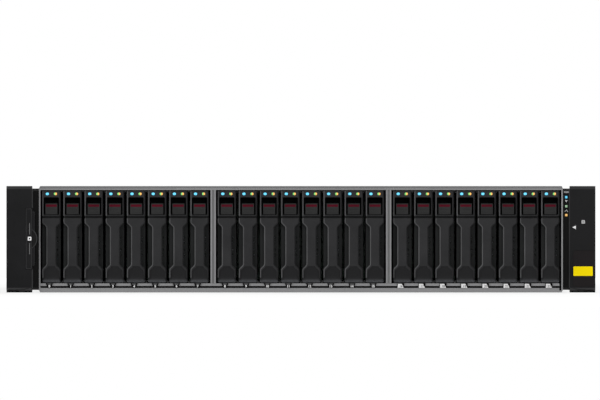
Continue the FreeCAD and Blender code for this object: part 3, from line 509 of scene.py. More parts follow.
# drive carrier, modelled once on the middle line and copied to every bay
carrier = {
    "half": 7.5, "front": 1.0, "back": 15.0, "foot": 7.7, "top": 83.7, "headFoot": 62.1, "plateFront": 5.3,
    "window": (-6.3, 6.3, 63.5, 78.0), "windowRound": 0.9, "windowBack": 13.0, "rim": 0.85, "highlightLean": -0.15,
    "pivot": (5.0, 12.0), "heelRoom": 4.3, "cheek": 1.3, "nose": 1.5, "strut": (5.2, -0.6, 1.5),
    "rail": 2.7, "railHalf": 7.0, "railEnd": 115.3, "slot": (3.2, 30.0, 18.0, 28.0, 3),
    "vents": (45.1, 41.4, 34.9, 30.7), "ventX": 4.85, "vent": 0.6,
    "lining": 0.03, "liningWall": 0.15, "liningStart": 2.3, "liningRounds": (0.88, 0.74),
}
lamps = {"across": 2.7, "tall": 2.2, "round": 0.95, "offset": 3.3, "rise": 80.8, "depth": 8.0, "gap": 0.04}


def lampOutline(middle, gap=0.0):  # outline of a lens, or of its hole without a gap
    return roundedAt(middle, lamps["rise"], lamps["across"] / 2 - gap, lamps["tall"] / 2 - gap,
                     lamps["round"] - gap / 2)


def makeCarrierFrame():
    c = carrier
    half, front, back = c["half"], c["front"], c["back"]
    head = addBlock("carrierFrame", (-half, front, c["headFoot"]), (half, back, c["top"]))
    softEdges(head, c["rim"], 1)
    # left-facing chamfers painted paler: painted highlight of the light from the left
    paintRims(paint(head, carrierGrey), rimHighlightGrey, c["highlightLean"])
    window = roundedRect(*c["window"], c["windowRound"])
    carve(head, addOutline("windowCut", window, front - 1, c["windowBack"]))
    for side in (-1, 1):
        hole = lampOutline(side * lamps["offset"])
        carve(head, addOutline("lampCut", hole, front - 1, front + lamps["depth"]))
    plate = addBlock("backPlate", (-half, c["plateFront"], c["foot"]), (half, back, c["headFoot"] + 0.5))
    holes = [addPost("ventCut", c["ventX"], z, c["plateFront"] - 1, back + 1, c["vent"], 14)
             for z in c["vents"]]  # small cooling holes beside the lever's neck
    carve(plate, joinUp(*holes))
    y, z = c["pivot"]
    carve(plate, addRod("heelCut", (-half - 1, y, z), (half + 1, y, z), c["heelRoom"], 40))
    softEdges(head, 0.1, 1, 60)
    softEdges(plate, 0.12, 1)
    return joinUp(head, paint(plate, plateGrey), *makeCheeks(), *makeRails())


def makeCheeks():  # bearings for the lever's pin at both sides
    c = carrier
    y, z = c["pivot"]
    deep, low, high = c["strut"]
    parts = []
    for side in (-1, 1):
        inner, outer = side * (c["half"] - c["cheek"]), side * c["half"]
        nose = softEdges(addRod("cheekNose", (inner, y, z), (outer, y, z), c["nose"], 24), 0.1)
        strut = addBlock("cheekStrut", (inner, y, z + low), (outer, y + deep, z + high))
        parts += [paint(nose, carrierGrey), paint(strut, carrierGrey)]
    return parts


def makeRails():  # slotted rails above and below the drive
    c = carrier
    half, first, length, pitch, count = c["slot"]
    starts = [first + pitch * n for n in range(count)]
    rails = []
    for foot in (c["foot"], c["top"] - c["rail"]):
        rail = addBlock("rail", (-c["railHalf"], c["back"] - 0.5, foot),
                        (c["railHalf"], c["railEnd"], foot + c["rail"]))
        slots = [addBlock("slotCut", (-half, y, foot - 1), (half, y + length, foot + 4)) for y in starts]
        carve(rail, joinUp(*slots))
        rails.append(dressed(rail, carrierGrey, 0.5))
    return rails


def makeWindowLining():  # near-black cup put in the window pocket: painted shade
    c = carrier
    x0, x1, z0, z1 = c["window"]
    gap, inner = c["lining"], c["lining"] + c["liningWall"]
    outerRound, innerRound = c["liningRounds"]
    lining = addOutline("windowShadeCup", roundedRect(x0 + gap, x1 - gap, z0 + gap, z1 - gap, outerRound),
                        c["liningStart"], c["windowBack"] - gap)
    hollow = roundedRect(x0 + inner, x1 - inner, z0 + inner, z1 - inner, innerRound)
    carve(lining, addOutline("liningCut", hollow, c["front"], c["windowBack"] - inner))
    return dressed(lining, recessBlack)


leverShape = {"neck": 4.1, "top": 61.3, "headLow": 52.8, "neckHigh": 57.6, "neckLow": 23.4,
              "footHigh": 18.4, "back": 5.0, "heel": 4.0, "core": 2.9, "coreHalf": 5.9, "bore": 0.86,
              "noseRoom": 1.8, "past": 9}
scoopShape = {"half": 6.2, "top": 21.4, "foot": 8.2, "arch": (4.2, 3.4), "front": -1, "back": 4,
              "behind": 6,
              "floor": [(1.55, 22.0), (1.75, 17.0), (1.9, 14.0), (1.9, 12.6), (1.75, 11.2), (1.7, 9.8),
                        (2.3, 8.8), (2.9, 8.0)]}


def shoulderCurve(z0, z1, x0, x1, steps=9):  # soft S from one width to the other
    points = []
    for n in range(steps + 1):
        t = n / steps
        ease = (1 - math.cos(math.pi * t)) / 2
        points.append((x0 + (x1 - x0) * ease, z0 + (z1 - z0) * t))
    return points


def makeScoopCutter():  # arched pocket with a dished floor
    s = scoopShape
    tall, inward = s["arch"]
    half, top = s["half"], s["top"]
    right = [(half, s["foot"])] + shoulderCurve(top - tall, top, half, half - inward, 6)
    cutter = addOutline("scoopCut", right + mirrored(right), s["front"], s["back"])
    solid = s["floor"] + [(s["behind"], s["floor"][-1][1]), (s["behind"], s["floor"][0][1])]
    carve(cutter, addOutline("scoopFloor", solid, -leverShape["past"], leverShape["past"], "x"))
    return paint(cutter, scoopGrey)


def makeCarrierLever():
    s, half, rim = leverShape, carrier["half"], carrier["rim"]
    core, past = s["coreHalf"], s["past"]  # cutters reach past the lever on every side
    y, z = carrier["pivot"]
    edge = [(half, z - 3)] + shoulderCurve(s["footHigh"], s["neckLow"], half, s["neck"])
    edge += shoulderCurve(s["headLow"], s["neckHigh"], s["neck"], half) + [(half, s["top"])]
    lever = addOutline("carrierLever", edge + mirrored(edge), carrier["front"], s["back"])
    softEdges(lever, rim, 1, 50, False)
    # left-facing chamfers painted paler: painted highlight of the light from the left
    paintRims(paint(lever, leverGrey), rimHighlightGrey, carrier["highlightLean"])
    carve(lever, addBlock("footTrim", (-past, -1, z - past), (past, y + past, z)))
    heel = addRod("heel", (-half, y, z), (half, y, z), s["heel"], 64)
    softEdges(heel, rim, 1, 50)
    carve(heel, addBlock("heelTrim", (-past, y - past, z), (past, y + past, z + past)))
    for side in (-1, 1):  # room for the cheeks of the frame at both ends
        carve(heel, addBlock("cheekCut", (side * core, y, z - past), (side * past, y + past, z + past)))
        for piece in (heel, lever):
            carve(piece, addRod("noseCut", (side * core, y, z), (side * past, y, z), s["noseRoom"], 24))
    bearing = addRod("heelCore", (-core, y, z), (core, y, z), s["core"], 48)
    carve(bearing, addRod("boreCut", (-past, y, z), (past, y, z), s["bore"], 20))
    # heel in the scoop finish, with its painted highlight near the foot
    paint(heel, scoopGrey)
    dressed(bearing, leverGrey)
    for piece in (lever, heel):
        carve(piece, makeScoopCutter())
        softEdges(piece, 0)
    return joinUp(lever, heel, bearing)


buttonShape = {"half": 4.95, "front": 2.0, "back": 9.5, "foot": 63.8, "top": 73.1, "slant": (1.2, 0.7),
               "lead": 0.3, "stripe": (4.45, 70.15, 72.1), "rib": (3.9, 65.0, 0.5, 0.18), "ribs": 4,
               "ribPitch": 1.25}


def makeButton():
    b = buttonShape
    front, foot, top = b["front"], b["foot"], b["top"]
    back, drop = b["slant"]
    side = [(b["back"], foot), (b["back"], top), (front + back, top), (front, top - drop),
            (front, foot + b["lead"]), (front + b["lead"], foot)]
    button = addOutline("releaseButton", side, -b["half"], b["half"], "x")
    half, first, tall, deep = b["rib"]
    rises = [first + b["ribPitch"] * n for n in range(b["ribs"])]
    ribs = [addBlock("ribCut", (-half, front - 1, z), (half, front + deep, z + tall)) for z in rises]
    carve(button, joinUp(*ribs))
    dressed(button, buttonGrey, 0.22)
    half, low, high = b["stripe"]
    stripe = addBlock("stripe", (-half, front - 0.06, low), (half, front + 0.3, high))
    return joinUp(button, dressed(stripe, releaseRed, 0.05, 1))


def makeLamp(name, middle, finish):
    front = carrier["front"]
    lens = addOutline(name, lampOutline(middle, lamps["gap"]), front + 0.05, front + lamps["depth"] - 0.1)
    return dressed(lens, finish, 0.3, 3, 50)


def makeLamps():  # one blue lens, one split green and amber
    blue = makeLamp("carrierLamps", -lamps["offset"], blueLamp)
    halves = []
    for name, finish, side in (("goLamp", greenLamp, 1), ("faultLamp", amberLamp, -1)):
        lens = makeLamp(name, lamps["offset"], finish)
        carve(lens, addBlock("lampHalf", (lamps["offset"], -1, 70), (lamps["offset"] + side * 4, 12, 90)))
        halves.append(softEdges(lens, 0))
    return joinUp(blue, *halves)


driveBox = {"half": 7.2, "front": 15.3, "back": 115.3, "foot": 10.7, "top": 80.7, "lid": (21, 109, 15, 76),
            "lidScrews": ((24, 18), (24, 73), (106, 18), (106, 73)), "screw": 1.5,
            "plug": (-2.5, 2.5, 15.4, 47.4), "plugSlot": (-0.6, 2.0, 16.4, 46.4)}


def makeFlashDrive():
    d = driveBox
    half, back = d["half"], d["back"]
    shell = addBlock("flashDrive", (-half, d["front"], d["foot"]), (half, back, d["top"]))
    dressed(shell, driveCase, 0.8, 3)
    parts = []
    for side in (-1, 1):  # raised lid panel and its screws on both faces
        lid = addOutline("lid", roundedRect(*d["lid"], 3.0), side * (half - 0.1), side * (half + 0.12), "x")
        parts.append(dressed(lid, driveCase, 0.05, 1))
        for y, z in d["lidScrews"]:
            head = addRod("lidScrew", (side * half, y, z), (side * (half + 0.2), y, z), d["screw"], 20)
            parts.append(dressed(head, screwSteel, 0.06, 1))
    x0, x1, z0, z1 = d["plug"]
    plug = addBlock("plug", (x0, back - 0.3, z0), (x1, back + 3.0, z1))
    x0, x1, z0, z1 = d["plugSlot"]
    carve(plug, addBlock("plugCut", (x0, back + 0.6, z0), (x1, back + 4, z1)))
    parts.append(dressed(plug, connectorBlack, 0.15, 1))
    return joinUp(shell, *parts)


def makePin():
    y, z = carrier["pivot"]
    reach = carrier["half"] - 0.05
    pin = addRod("leverPin", (-reach, y, z), (reach, y, z), 0.8, 20)
    return dressed(pin, screwSteel, 0.12, 1)


carrierParts = [
    (makeCarrierFrame(), "carrier_plastic"), (makeWindowLining(), "carrier_plastic"),
    (makeLamps(), "lens_clear"), (makeFlashDrive(), "carrier_plastic"), (makePin(), "screw_steel"),
    (makeCarrierLever(), "lever_plastic"), (makeButton(), "button_plastic"),
]
ownBodies = {"carrierLever": "lever_%02d", "releaseButton": "button_%02d"}
for number, node in enumerate(bayNames):
    low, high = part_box(node)
    for part, slotName in carrierParts:
        twin = copyAside(part, "%s_%02d" % (part.name, number), (low.x + high.x) / 2)
        if number in movingBays and part.name in ownBodies:
            body = ownBodies[part.name] % number
            settle(twin, body, slotName, body)
        elif part.name == "carrierFrame":
            settle(twin, node, slotName, node)
        else:
            settle(twin, node, slotName)
for part, slotName in carrierParts:
    bpy.data.objects.remove(part)
print("carriers in their bays")


# front figures under the bays
bayMarks = {"shift": -1.56, "rise": 4.95, "tall": 1.85, "face": -0.42, "back": -0.3, "bold": 0.1,
            "crest": (1.0, 1.75, 6.0, 7.36), "patchFrom": 16, "patchShift": 0.45,
            "patch": (2.2, 1.2, 2.75, 3.7, 7.1), "holder": (2.75, 3.2, 3.62, 7.36),
            "holderDepth": (-0.4, 0.58)}


def makeCrest(middle):  # grey crest of a dark tab, in the pale grey of the painted rim highlights
    foot, head, low, high = bayMarks["crest"]
    outline = [(middle - foot, low), (middle + foot, low), (middle + head, high), (middle - head, high)]
    return paint(addOutline("crest", outline, bayMarks["face"], bayMarks["back"]), rimHighlightGrey)


def makePatch(middle):  # white field in a black holder
    left, right, low, high = bayMarks["holder"]
    outline = roundedRect(middle - left, middle + right, low, high, 0.3)
    holder = paint(addOutline("holder", outline, *bayMarks["holderDepth"]), recessBlack)
    left, head, foot, low, high = bayMarks["patch"]
    outline = [(middle - left, low), (middle + foot, low), (middle + head, high), (middle - left, high)]
    return [holder, paint(addOutline("patch", outline, bayMarks["face"], bayMarks["back"]), whiteInk)]


def makeBayNumbers():
    m = bayMarks
    figures = []
    for number, node in enumerate(bayNames):
        low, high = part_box(node)
        middle = (low.x + high.x) * 500 + m["shift"]
        if number < m["patchFrom"]:
            figures.append(makeCrest(middle))
            ink, bold = whiteInk, m["bold"]
        else:
            figures += makePatch(middle)
            middle += m["patchShift"]
            ink, bold = blackInk, 0.0
        place = (middle, m["face"] - 0.02, m["rise"])
        figures.append(addText("bayNumber", str(number), m["tall"], place, ink, bold=bold))
    return joinUp(*figures)


bayNumbers = makeBayNumbers()
bayNumbers.name = "bayNumbers"
settle(bayNumbers, "chassis", "strip_plastic")
print("bay numbers printed")


# end caps over the rack ears
capShape = {"inner": 220.6, "outer": 241.3, "front": -6.95, "back": 14.0, "top": 87.2, "topBevel": 2.6,
            "footBevel": 2.3, "step": (1.5, 3.4), "wall": 1.6, "innerWall": 5.6, "hollow": -5.4,
            "lip": 219.6, "lipBack": -3.2, "panel": (222.7, 240.5, 4.8, 34.6), "panelBack": -6.5,
            "tabRoom": ((-225.8, -8, 18.85), (-219.4, -5.1, 69.15)),
            "hooks": (22.0, 65.2), "hookX": (222.9, 225.9), "hookY": (13.0, 18.5), "hook": (3, 2.2)}


def makeCap(side):
    c = capShape
    front, back, top = c["front"], c["back"], c["top"]
    rise, depth = c["step"]  # shadow gap under the front
    foot = rise + c["footBevel"]
    profile = [(back, 0), (back, top), (front + c["topBevel"], top), (front, top - c["topBevel"]),
               (front, foot), (front + c["footBevel"], rise), (front + depth, rise), (front + depth, 0)]
    cap = addOutline("endCap", profile, side * c["inner"], side * c["outer"], "x")
    carve(cap, addBlock("capHollow", (side * (c["inner"] + c["innerWall"]), c["hollow"], c["wall"]),
                        (side * (c["outer"] - c["wall"]), back + 1, top - c["wall"])))
    softEdges(cap, 0.3, 2, 30)
    lip = makeCapLip(side)
    # forward-slanted chamfers of cap and lip painted paler: painted highlights; the left lip's inner edge
    # gets the palest
    for piece, rim in ((cap, capRim), (lip, lipRimHighlight if side < 0 else capRim)):
        paintRims(paint(piece, capGrey), rim)
        if side < 0:
            carve(piece, addBlock("tabCut", *c["tabRoom"]))
        else:
            carve(piece, addOutline("panelCut", roundedRect(*c["panel"], 2.0), front - 1.05, c["panelBack"]))
        softEdges(piece, 0)
    # down-facing foot chamfer painted paler: painted reflection of the floor
    paintRims(cap, lipRimHighlight, 1.0, -0.3)
    # faces in the gap under the front painted near-black: painted shade
    gap = atMm(0, front + c["footBevel"] + 0.3, 0)
    gapEnd = atMm(0, front + depth + 0.4, rise + 0.3)

    def inGap(face):
        return gap.y < face.center.y < gapEnd.y and face.center.z < gapEnd.z
    paintFaces(cap, recessBlack, inGap)
    return joinUp(cap, lip, *makeCapHooks(side))


def makeCapLip(side):  # thin edge that reaches over the side strip
    c = capShape
    root, tip, front = side * (c["inner"] + 0.1), side * c["lip"], c["front"]
    outline = [(root, front), (side * (c["inner"] - 0.1), front), (tip, front + 0.9), (tip, c["lipBack"]),
               (root, c["lipBack"])]
    return addOutline("lip", outline, c["step"][0] + 2, c["top"] - 2, "z")


def makeCapHooks(side):
    c = capShape
    root, tip = c["hookY"]
    wide, narrow = c["hook"]
    x0, x1 = c["hookX"]
    hooks = []
    for z in c["hooks"]:
        outline = [(root, z - wide), (tip, z - narrow), (tip, z + narrow), (root, z + wide)]
        hooks.append(paint(softEdges(addOutline("hook", outline, side * x0, side * x1, "x"), 0.3), capGrey))
    return hooks


for side, label in ((-1, "left"), (1, "right")):
    cap = makeCap(side)
    cap.name = "endCap_" + label
    settle(cap, "cap_" + label, "cap_plastic", "end_cap_" + label)


# bare label field and the plain marks on the right cap
labelField = {"field": (222.9, 240.3, 5.0, 34.4), "yellow": (223.3, 239.1, 13.6, 21.3),
              "square": (231.3, 57.85), "squareHalf": 1.4, "squareHole": 0.4,
              "arrow": (222.4, 53.4, 2.9, 1.5), "inkFront": -6.98, "inkBack": -6.9}


def makeLabelField():
    field = addOutline("labelField", roundedRect(*labelField["field"], 1.8), -6.62, -6.45)
    dressed(field, panelFilm, 0.05, 1)
    yellow = addOutline("yellowLabel", roundedRect(*labelField["yellow"], 0.4), -6.7, -6.6)
    return joinUp(field, dressed(yellow, yellowFilm, 0.02, 1))


def makeCapMarks():
    f = labelField
    ink = (f["inkFront"], f["inkBack"])
    half, hole = f["squareHalf"], f["squareHole"]
    square = addOutline("capMarks", roundedAt(*f["square"], half, half, 0.45), *ink)
    carve(square, addOutline("squareCut", roundedAt(*f["square"], hole, hole, 0.15), -8, -6))
    x, z, length, half = f["arrow"]
    arrow = addOutline("arrow", [(x, z), (x + length, z - half), (x + length, z + half)], *ink)
    return joinUp(paint(square, silverInk), paint(arrow, whiteInk))


settle(makeLabelField(), "cap_right", "cap_plastic")
settle(makeCapMarks(), "cap_right", "cap_plastic")
print("end caps done")


# side strips with the status lenses
stripShape = {"inner": 214.85, "outer": 220.55, "front": 2.0, "back": 3.5, "foot": 2.0, "top": 85.2,
              "slant": (0.9, 1.9), "cardRoom": ((-219.4, 0, 24.2), (-217.8, 5, 63.8)),
              "rib": (215.1, 217.8, 11.2, 76.0), "ribBack": 13.5, "lensX": 217.7,
              "lensRises": (78.1, 70.6, 63.4), "lens": 0.97, "lensHole": 1.1, "lensDepth": (1.8, 6.8)}


def makeStrip(side):
    t = stripShape
    front, back, foot, top = t["front"], t["back"], t["foot"], t["top"]
    deep, tall = t["slant"]
    profile = [(back, foot), (back, top), (front + deep, top), (front, top - tall), (front, foot + tall),
               (front + deep, foot)]
    strip = addOutline("sideStrip", profile, side * t["inner"], side * t["outer"], "x")
    # forward-slanted chamfers painted paler: painted highlights
    paintRims(paint(strip, stripBlack), stripRimHighlight)
    softEdges(strip, 0.12, 1, 30)
    if side < 0:
        carve(strip, addBlock("cardCut", *t["cardRoom"]))
    else:
        x, half = t["lensX"], t["lensHole"]
        carve(strip, joinUp(*[addAround("lensCut", x, z, half, half, 0, 5) for z in t["lensRises"]]))
    x0, x1, low, high = t["rib"]
    rib = addBlock("rib", (side * x0, back - 0.3, low), (side * x1, t["ribBack"], high))
    dressed(rib, stripBlack, 0.4)
    return joinUp(softEdges(strip, 0), rib)


def makeStatusLens(z, finish):
    x, half = stripShape["lensX"], stripShape["lens"]
    front, back = stripShape["lensDepth"]
    lens = addAround("statusLens", x, z, half, half, front, back)
    return dressed(lens, finish, 0.3, 3)


def makeStripMarks():  # plain pictograms between the lenses: bar, drop and roof
    x, face = stripShape["lensX"], stripShape["front"]
    bar = roundedRect(x - 2.0, x + 2.0, 81.6, 82.9, 0.3)
    drop = [(x - 1.1, 75.3), (x - 0.6, 75.9), (x, 75.4), (x + 0.6, 75.9), (x + 1.1, 75.3), (x, 73.8)]
    roof = [(x - 1.5, 66.1), (x - 1.0, 66.1), (x, 67.3), (x + 1.0, 66.1), (x + 1.5, 66.1), (x, 68.0)]
    marks = [addOutline("stripMarks", outline, face - 0.06, face + 0.1) for outline in (bar, drop, roof)]
    for mark, ink in zip(marks, (silverInk, whiteInk, whiteInk)):
        paint(mark, ink)
    return joinUp(*marks)


for side, label in ((-1, "left"), (1, "right")):
    strip = makeStrip(side)
    strip.name = "sideStrip_" + label
    settle(strip, "chassis", "strip_plastic", "ear_strip_" + label)
lensFinishes = zip(stripShape["lensRises"], (blueLamp, paleGreenLamp, paleAmberLamp))
statusLenses = joinUp(*[makeStatusLens(z, finish) for z, finish in lensFinishes])
statusLenses.name = "statusLenses"
settle(statusLenses, "chassis", "lens_clear", "status_lenses")
settle(makeStripMarks(), "chassis", "strip_plastic")


# information tab that slides out of the left cap
tabShape = {"left": -225.5, "step": -220.6, "edge": -218.1, "low": 19.15, "high": 68.85, "edgeLow": 22.0,
            "edgeHigh": 66.2, "cardLow": 24.5, "cardHigh": 63.5, "cardThick": 1.0, "middle": 44.0,
            "lug": 9.5, "front": -6.95, "lugFront": -6.85, "edgeFront": -6.35, "back": -5.4,
            "cardBack": 70.6, "tuck": 0.3, "markX": -222.3, "lineHalf": 0.26,
            "lines": ((47.6, 56.8), (31.4, 40.4)), "square": (42.5, 45.7)}


def makeInfoTab():
    t = tabShape
    back = t["back"]
    inner = t["step"] - t["tuck"]  # lug and edge start a little inside the head
    reach = math.acos((inner - t["left"]) / t["lug"])
    arc = [(t["left"] + t["lug"] * math.cos(a), t["middle"] + t["lug"] * math.sin(a))
           for a in [reach * (n / 10 - 1) for n in range(21)]]
    head = addBlock("infoTab", (t["left"], t["front"], t["low"]), (t["step"], back, t["high"]))
    # forward-slanted chamfers of head, edge and lug painted paler: painted highlights
    paintRims(dressed(head, capGrey, 0.5, 1), lipRimHighlight)
    edge = addBlock("edge", (inner, t["edgeFront"], t["edgeLow"]), (t["edge"], back, t["edgeHigh"]))
    paintRims(dressed(edge, capGrey, 0.45, 1), capRim)
    lug = addOutline("lug", arc, t["lugFront"], back)
    paintRims(paint(softEdges(lug, 0.7, 1, 50, False), stripBlack), lipRimHighlight)
    card = addBlock("card", (t["edge"] - t["cardThick"], back - 0.2, t["cardLow"]),
                    (t["edge"], t["cardBack"], t["cardHigh"]))
    return joinUp(head, edge, lug, dressed(card, stripBlack, 0.2))


def makeTabMarks():
    t = tabShape
    x, front, back = t["markX"], labelField["inkFront"], labelField["inkBack"]
    lines = [addBlock("tabMarks", (x - t["lineHalf"], front, low), (x + t["lineHalf"], back, high))
             for low, high in t["lines"]]
    for line in lines:
        paint(line, greyInk)
    low, high = t["square"]
    square = addOutline("tabSquare", roundedRect(x - 1.5, x + 1.5, low, high, 0.6), front, back)
    middle = (low + high) / 2
    carve(square, addRod("dotCut", (x, -8, middle), (x, -6, middle), 0.65, 20))
    return joinUp(*lines, paint(square, whiteInk))


settle(makeInfoTab(), "info_tab", "tab_plastic", "info_tab")
settle(makeTabMarks(), "info_tab", "tab_plastic")
print("strips, lenses and tab done")


# top cover with pressed beads, a lifting seam and its screws
coverShape = {"half": 214.8, "shoulder": 220.6, "top": 87.2, "under": 86.0, "step": 85.2, "foot": 84.0,
              "inner": 213.6, "start": 3.5, "end": 519.3, "corner": 0.95, "lipFoot": 85.6, "lipDeep": 1.2,
              "seatFoot": 85.32, "seatDepth": (0.25, 1.1), "beads": (165.0, 265.0, 365.0, 465.0),
              "bead": (190, 9, 4.4, 0.85), "seam": (216, 131.0, 131.6, 0.4), "thumb": (22, 138, 152, 0.8),
              "sideFront": 59, "sideFoot": 74.0, "holeRun": (219, 224)}
screwPlaces = {"coverY": (84.0, 222.4, 360.9, 499.3), "coverZ": 79.0, "earY": 36.0,
               "earZ": (21.8, 43.6, 65.4), "coverSeat": 221.8, "earSeat": 222.6, "head": 2.6, "taper": 0.86,
               "tall": 1.4, "shank": 1.5, "length": 2.2, "hole": 1.6, "slot": (1.55, 0.3, 0.8), "turn": 0.7}


def slantBand(low, high):  # band across the front, its ends on the slanted corner
    c = coverShape
    lean = c["corner"] / (c["top"] - c["step"])
    foot, head = [c["half"] - lean * (z - c["step"]) for z in (low, high)]
    return [(-foot, low), (foot, low), (head, high), (-head, high)]


def makePressings():  # cutters for the beads, the seam and the thumb rest
    c = coverShape
    half, wide, bend, deep = c["bead"]
    outlines = [(roundedRect(-half, half, y, y + wide, bend), deep) for y in c["beads"]]
    half, low, high, deep = c["seam"]
    outlines.append((roundedRect(-half, half, low, high, 0.2, 1), deep))
    half, low, high, deep = c["thumb"]
    outlines.append((roundedRect(-half, half, low, high, 6.9), deep))
    top = c["top"]
    return joinUp(*[addOutline("bead", outline, top - deep, top + 1, "z") for outline, deep in outlines])


def makeSideLip(side):  # edge folded over the case wall, with its screw holes
    c, s = coverShape, screwPlaces
    lip = addBlock("sideLip", (side * c["shoulder"], c["sideFront"], c["sideFoot"]),
                   (side * s["coverSeat"], c["end"], c["step"]))
    near, far = c["holeRun"]
    z = s["coverZ"]
    holes = [addRod("holeCut", (side * near, y, z), (side * far, y, z), s["hole"], 20) for y in s["coverY"]]
    carve(lip, joinUp(*holes))
    return dressed(lip, zincSheet, 0.25)


def makeTopCover():
    c = coverShape
    top, under, start = c["top"], c["under"], c["start"]
    right = [(c["half"] - c["corner"], top), (c["half"], c["step"]), (c["shoulder"], c["step"]),
             (c["shoulder"], c["foot"]), (c["inner"], c["foot"]), (c["inner"], under)]
    cover = addOutline("topCover", right + mirrored(right), start, c["end"])
    carve(cover, makePressings())
    front = addOutline("coverFront", slantBand(under, top), 0, start + 0.01)
    lip = addOutline("coverLip", slantBand(c["lipFoot"], under + 0.3), 0, c["lipDeep"])
    seat = addOutline("lipSeat", slantBand(c["seatFoot"], c["lipFoot"] + 0.2), *c["seatDepth"])
    parts = [dressed(front, lipGrey, 0.2), dressed(lip, lipGrey, 0.15, 1), dressed(seat, lipGrey)]
    parts += [makeSideLip(side) for side in (-1, 1)]
    return joinUp(dressed(cover, zincSheet, 0.4, 2, 30), *parts)


def makePanScrew():  # pan head with a cross slot, axis along X, seat at x = 0
    s = screwPlaces
    tall = s["tall"]
    head = addRod("caseScrews", (0, 0, 0), (tall, 0, 0), s["head"], 24, s["head"] * s["taper"])
    softEdges(head, 0.45, 3, 30)
    long, thin, deep = s["slot"]
    for wide, high in ((long, thin), (thin, long)):
        carve(head, addBlock("slotCut", (tall - deep, -wide, -high), (tall + 1, wide, high)))
    shank = addRod("shank", (-s["length"], 0, 0), (0.1, 0, 0), s["shank"], 16)
    return dressed(joinUp(head, shank), screwSteel)


def makeCaseScrews():
    s = screwPlaces
    pattern = makePanScrew()
    places = [(s["coverSeat"], y, s["coverZ"]) for y in s["coverY"]]
    places += [(s["earSeat"], s["earY"], z) for z in s["earZ"]]
    screws = []
    for side in (-1, 1):
        for n, (x, y, z) in enumerate(places):
            twin = copyAside(pattern, "screw")
            twin.data.transform(Matrix.Translation((0, -frontY, 0)))
            twin.data.transform(Matrix.Rotation(s["turn"] * n + side, 4, "X"))
            if side < 0:
                mirrorAcross(twin)
            twin.data.transform(Matrix.Translation(atMm(side * x, y, z)))
            screws.append(twin)
    bpy.data.objects.remove(pattern)
    return joinUp(*screws)


settle(makeTopCover(), "chassis", "galvanised_steel", "top_cover")
caseScrews = makeCaseScrews()
caseScrews.name = "caseScrews"
settle(caseScrews, "chassis", "screw_steel", "case_screws")
print("cover and screws done")


# finishes for the solids that keep their own shape
keptFinishes = {
    "drive_cage": cageGrey, "chassis_tub": zincSheet, "rear_bay_frame": zincSheet, "rack_ear_left": earBlack,
    # bay number strip is black plastic, painted near-black as shade in the slot under the rail
    "rack_ear_right": earBlack, "bay_number_strip": recessBlack, "midplane_board": boardGreen,
    "drive_connectors": connectorBlack,
}
for node, finish in keptFinishes.items():
    paint(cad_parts[node], finish)
print("kept solids finished")


# rear power units, modelled on the right and turned over for the left
powerShape = {"inner": 110.3, "outer": 213.3, "front": 139.3, "back": 519.3, "foot": 1.5, "top": 85.7,
              "wall": 1.0, "face": 1.5, "slack": 0.05, "fan": (151.3, 43.6), "bore": 28.6, "fanHalf": 29.5,
              "fanDeep": 24.0, "rings": 4, "ring": 2.0, "spoke": (40, 1.1), "hub": 12.0,
              "arm": (29.2, 1.5, 2.98), "shaft": 1.5, "inlet": (197.3, 61.5, 13.5, 9.7),
              "inletDepths": (22, 20.4), "inletWall": 1.6, "inletKey": 3.4,
              "blades": ((-7.0, -1.84), (0.0, 1.84), (7.0, -1.84)), "rocker": (197.3, 25.5, 7.5, 10.5),
              "lamp": (176.0, 79.0), "screwAway": 25, "screw": (2.5, 1.5, 0.3),
              "handle": (116.3, 523.7, 10.5), "bracket": (4.55, 5.75, 3.4, 3.38), "pin": 1.25}


def makePowerShell():
    p = powerShape
    wall, back, slack = p["wall"], p["back"], p["slack"]
    inside = back - p["face"]
    shell = addBlock("powerShell", (p["inner"], p["front"], p["foot"]), (p["outer"], back, p["top"]))
    softEdges(shell, 0.6, 3)
    carve(shell, addBlock("insideCut", (p["inner"] + wall, p["front"] + wall, p["foot"] + wall),
                          (p["outer"] - wall, inside, p["top"] - wall)))
    x, z = p["fan"]
    step = (p["bore"] - p["hub"] / 2) / p["rings"]
    for n in range(p["rings"]):  # pressed finger guard
        outer = p["bore"] - n * step
        ring = addPost("ringCut", x, z, inside - 1, back + 1, outer, 56)
        carve(ring, addPost("ringCore", x, z, inside - 2, back + 2, outer - step + p["ring"], 56))
        carve(ring, *crossBlocks("spokeCut", x, z, *p["spoke"], inside - 2, back + 2))
        carve(shell, ring)
    for x, z, halfWide, halfTall in (p["inlet"], p["rocker"]):
        carve(shell, addAround("fittingCut", x, z, halfWide + slack, halfTall + slack, inside - 1, back + 1))
    return dressed(shell, moduleZinc)


def makeFanFrame():
    p = powerShape
    x, z = p["fan"]
    half, back = p["fanHalf"], p["back"] - p["face"]
    front = back - p["fanDeep"]
    housing = addOutline("fanFrame", roundedAt(x, z, half, half, 3.0), front, back)
    carve(housing, addPost("boreCut", x, z, front - 1, back + 1, p["bore"], 64))
    softEdges(housing, 0.4, 2, 50)
    long, half, deep = p["arm"]
    parts = [addPost("spider", x, z, front, front + 3, p["hub"], 40)]
    parts.append(addPost("shaft", x, z, front, back - 0.3, p["shaft"], 20))
    parts += crossBlocks("arm", x, z, long, half, front, front + deep)
    for part in parts:
        softEdges(part, 0.3)
    return paint(joinUp(housing, *parts), connectorBlack)


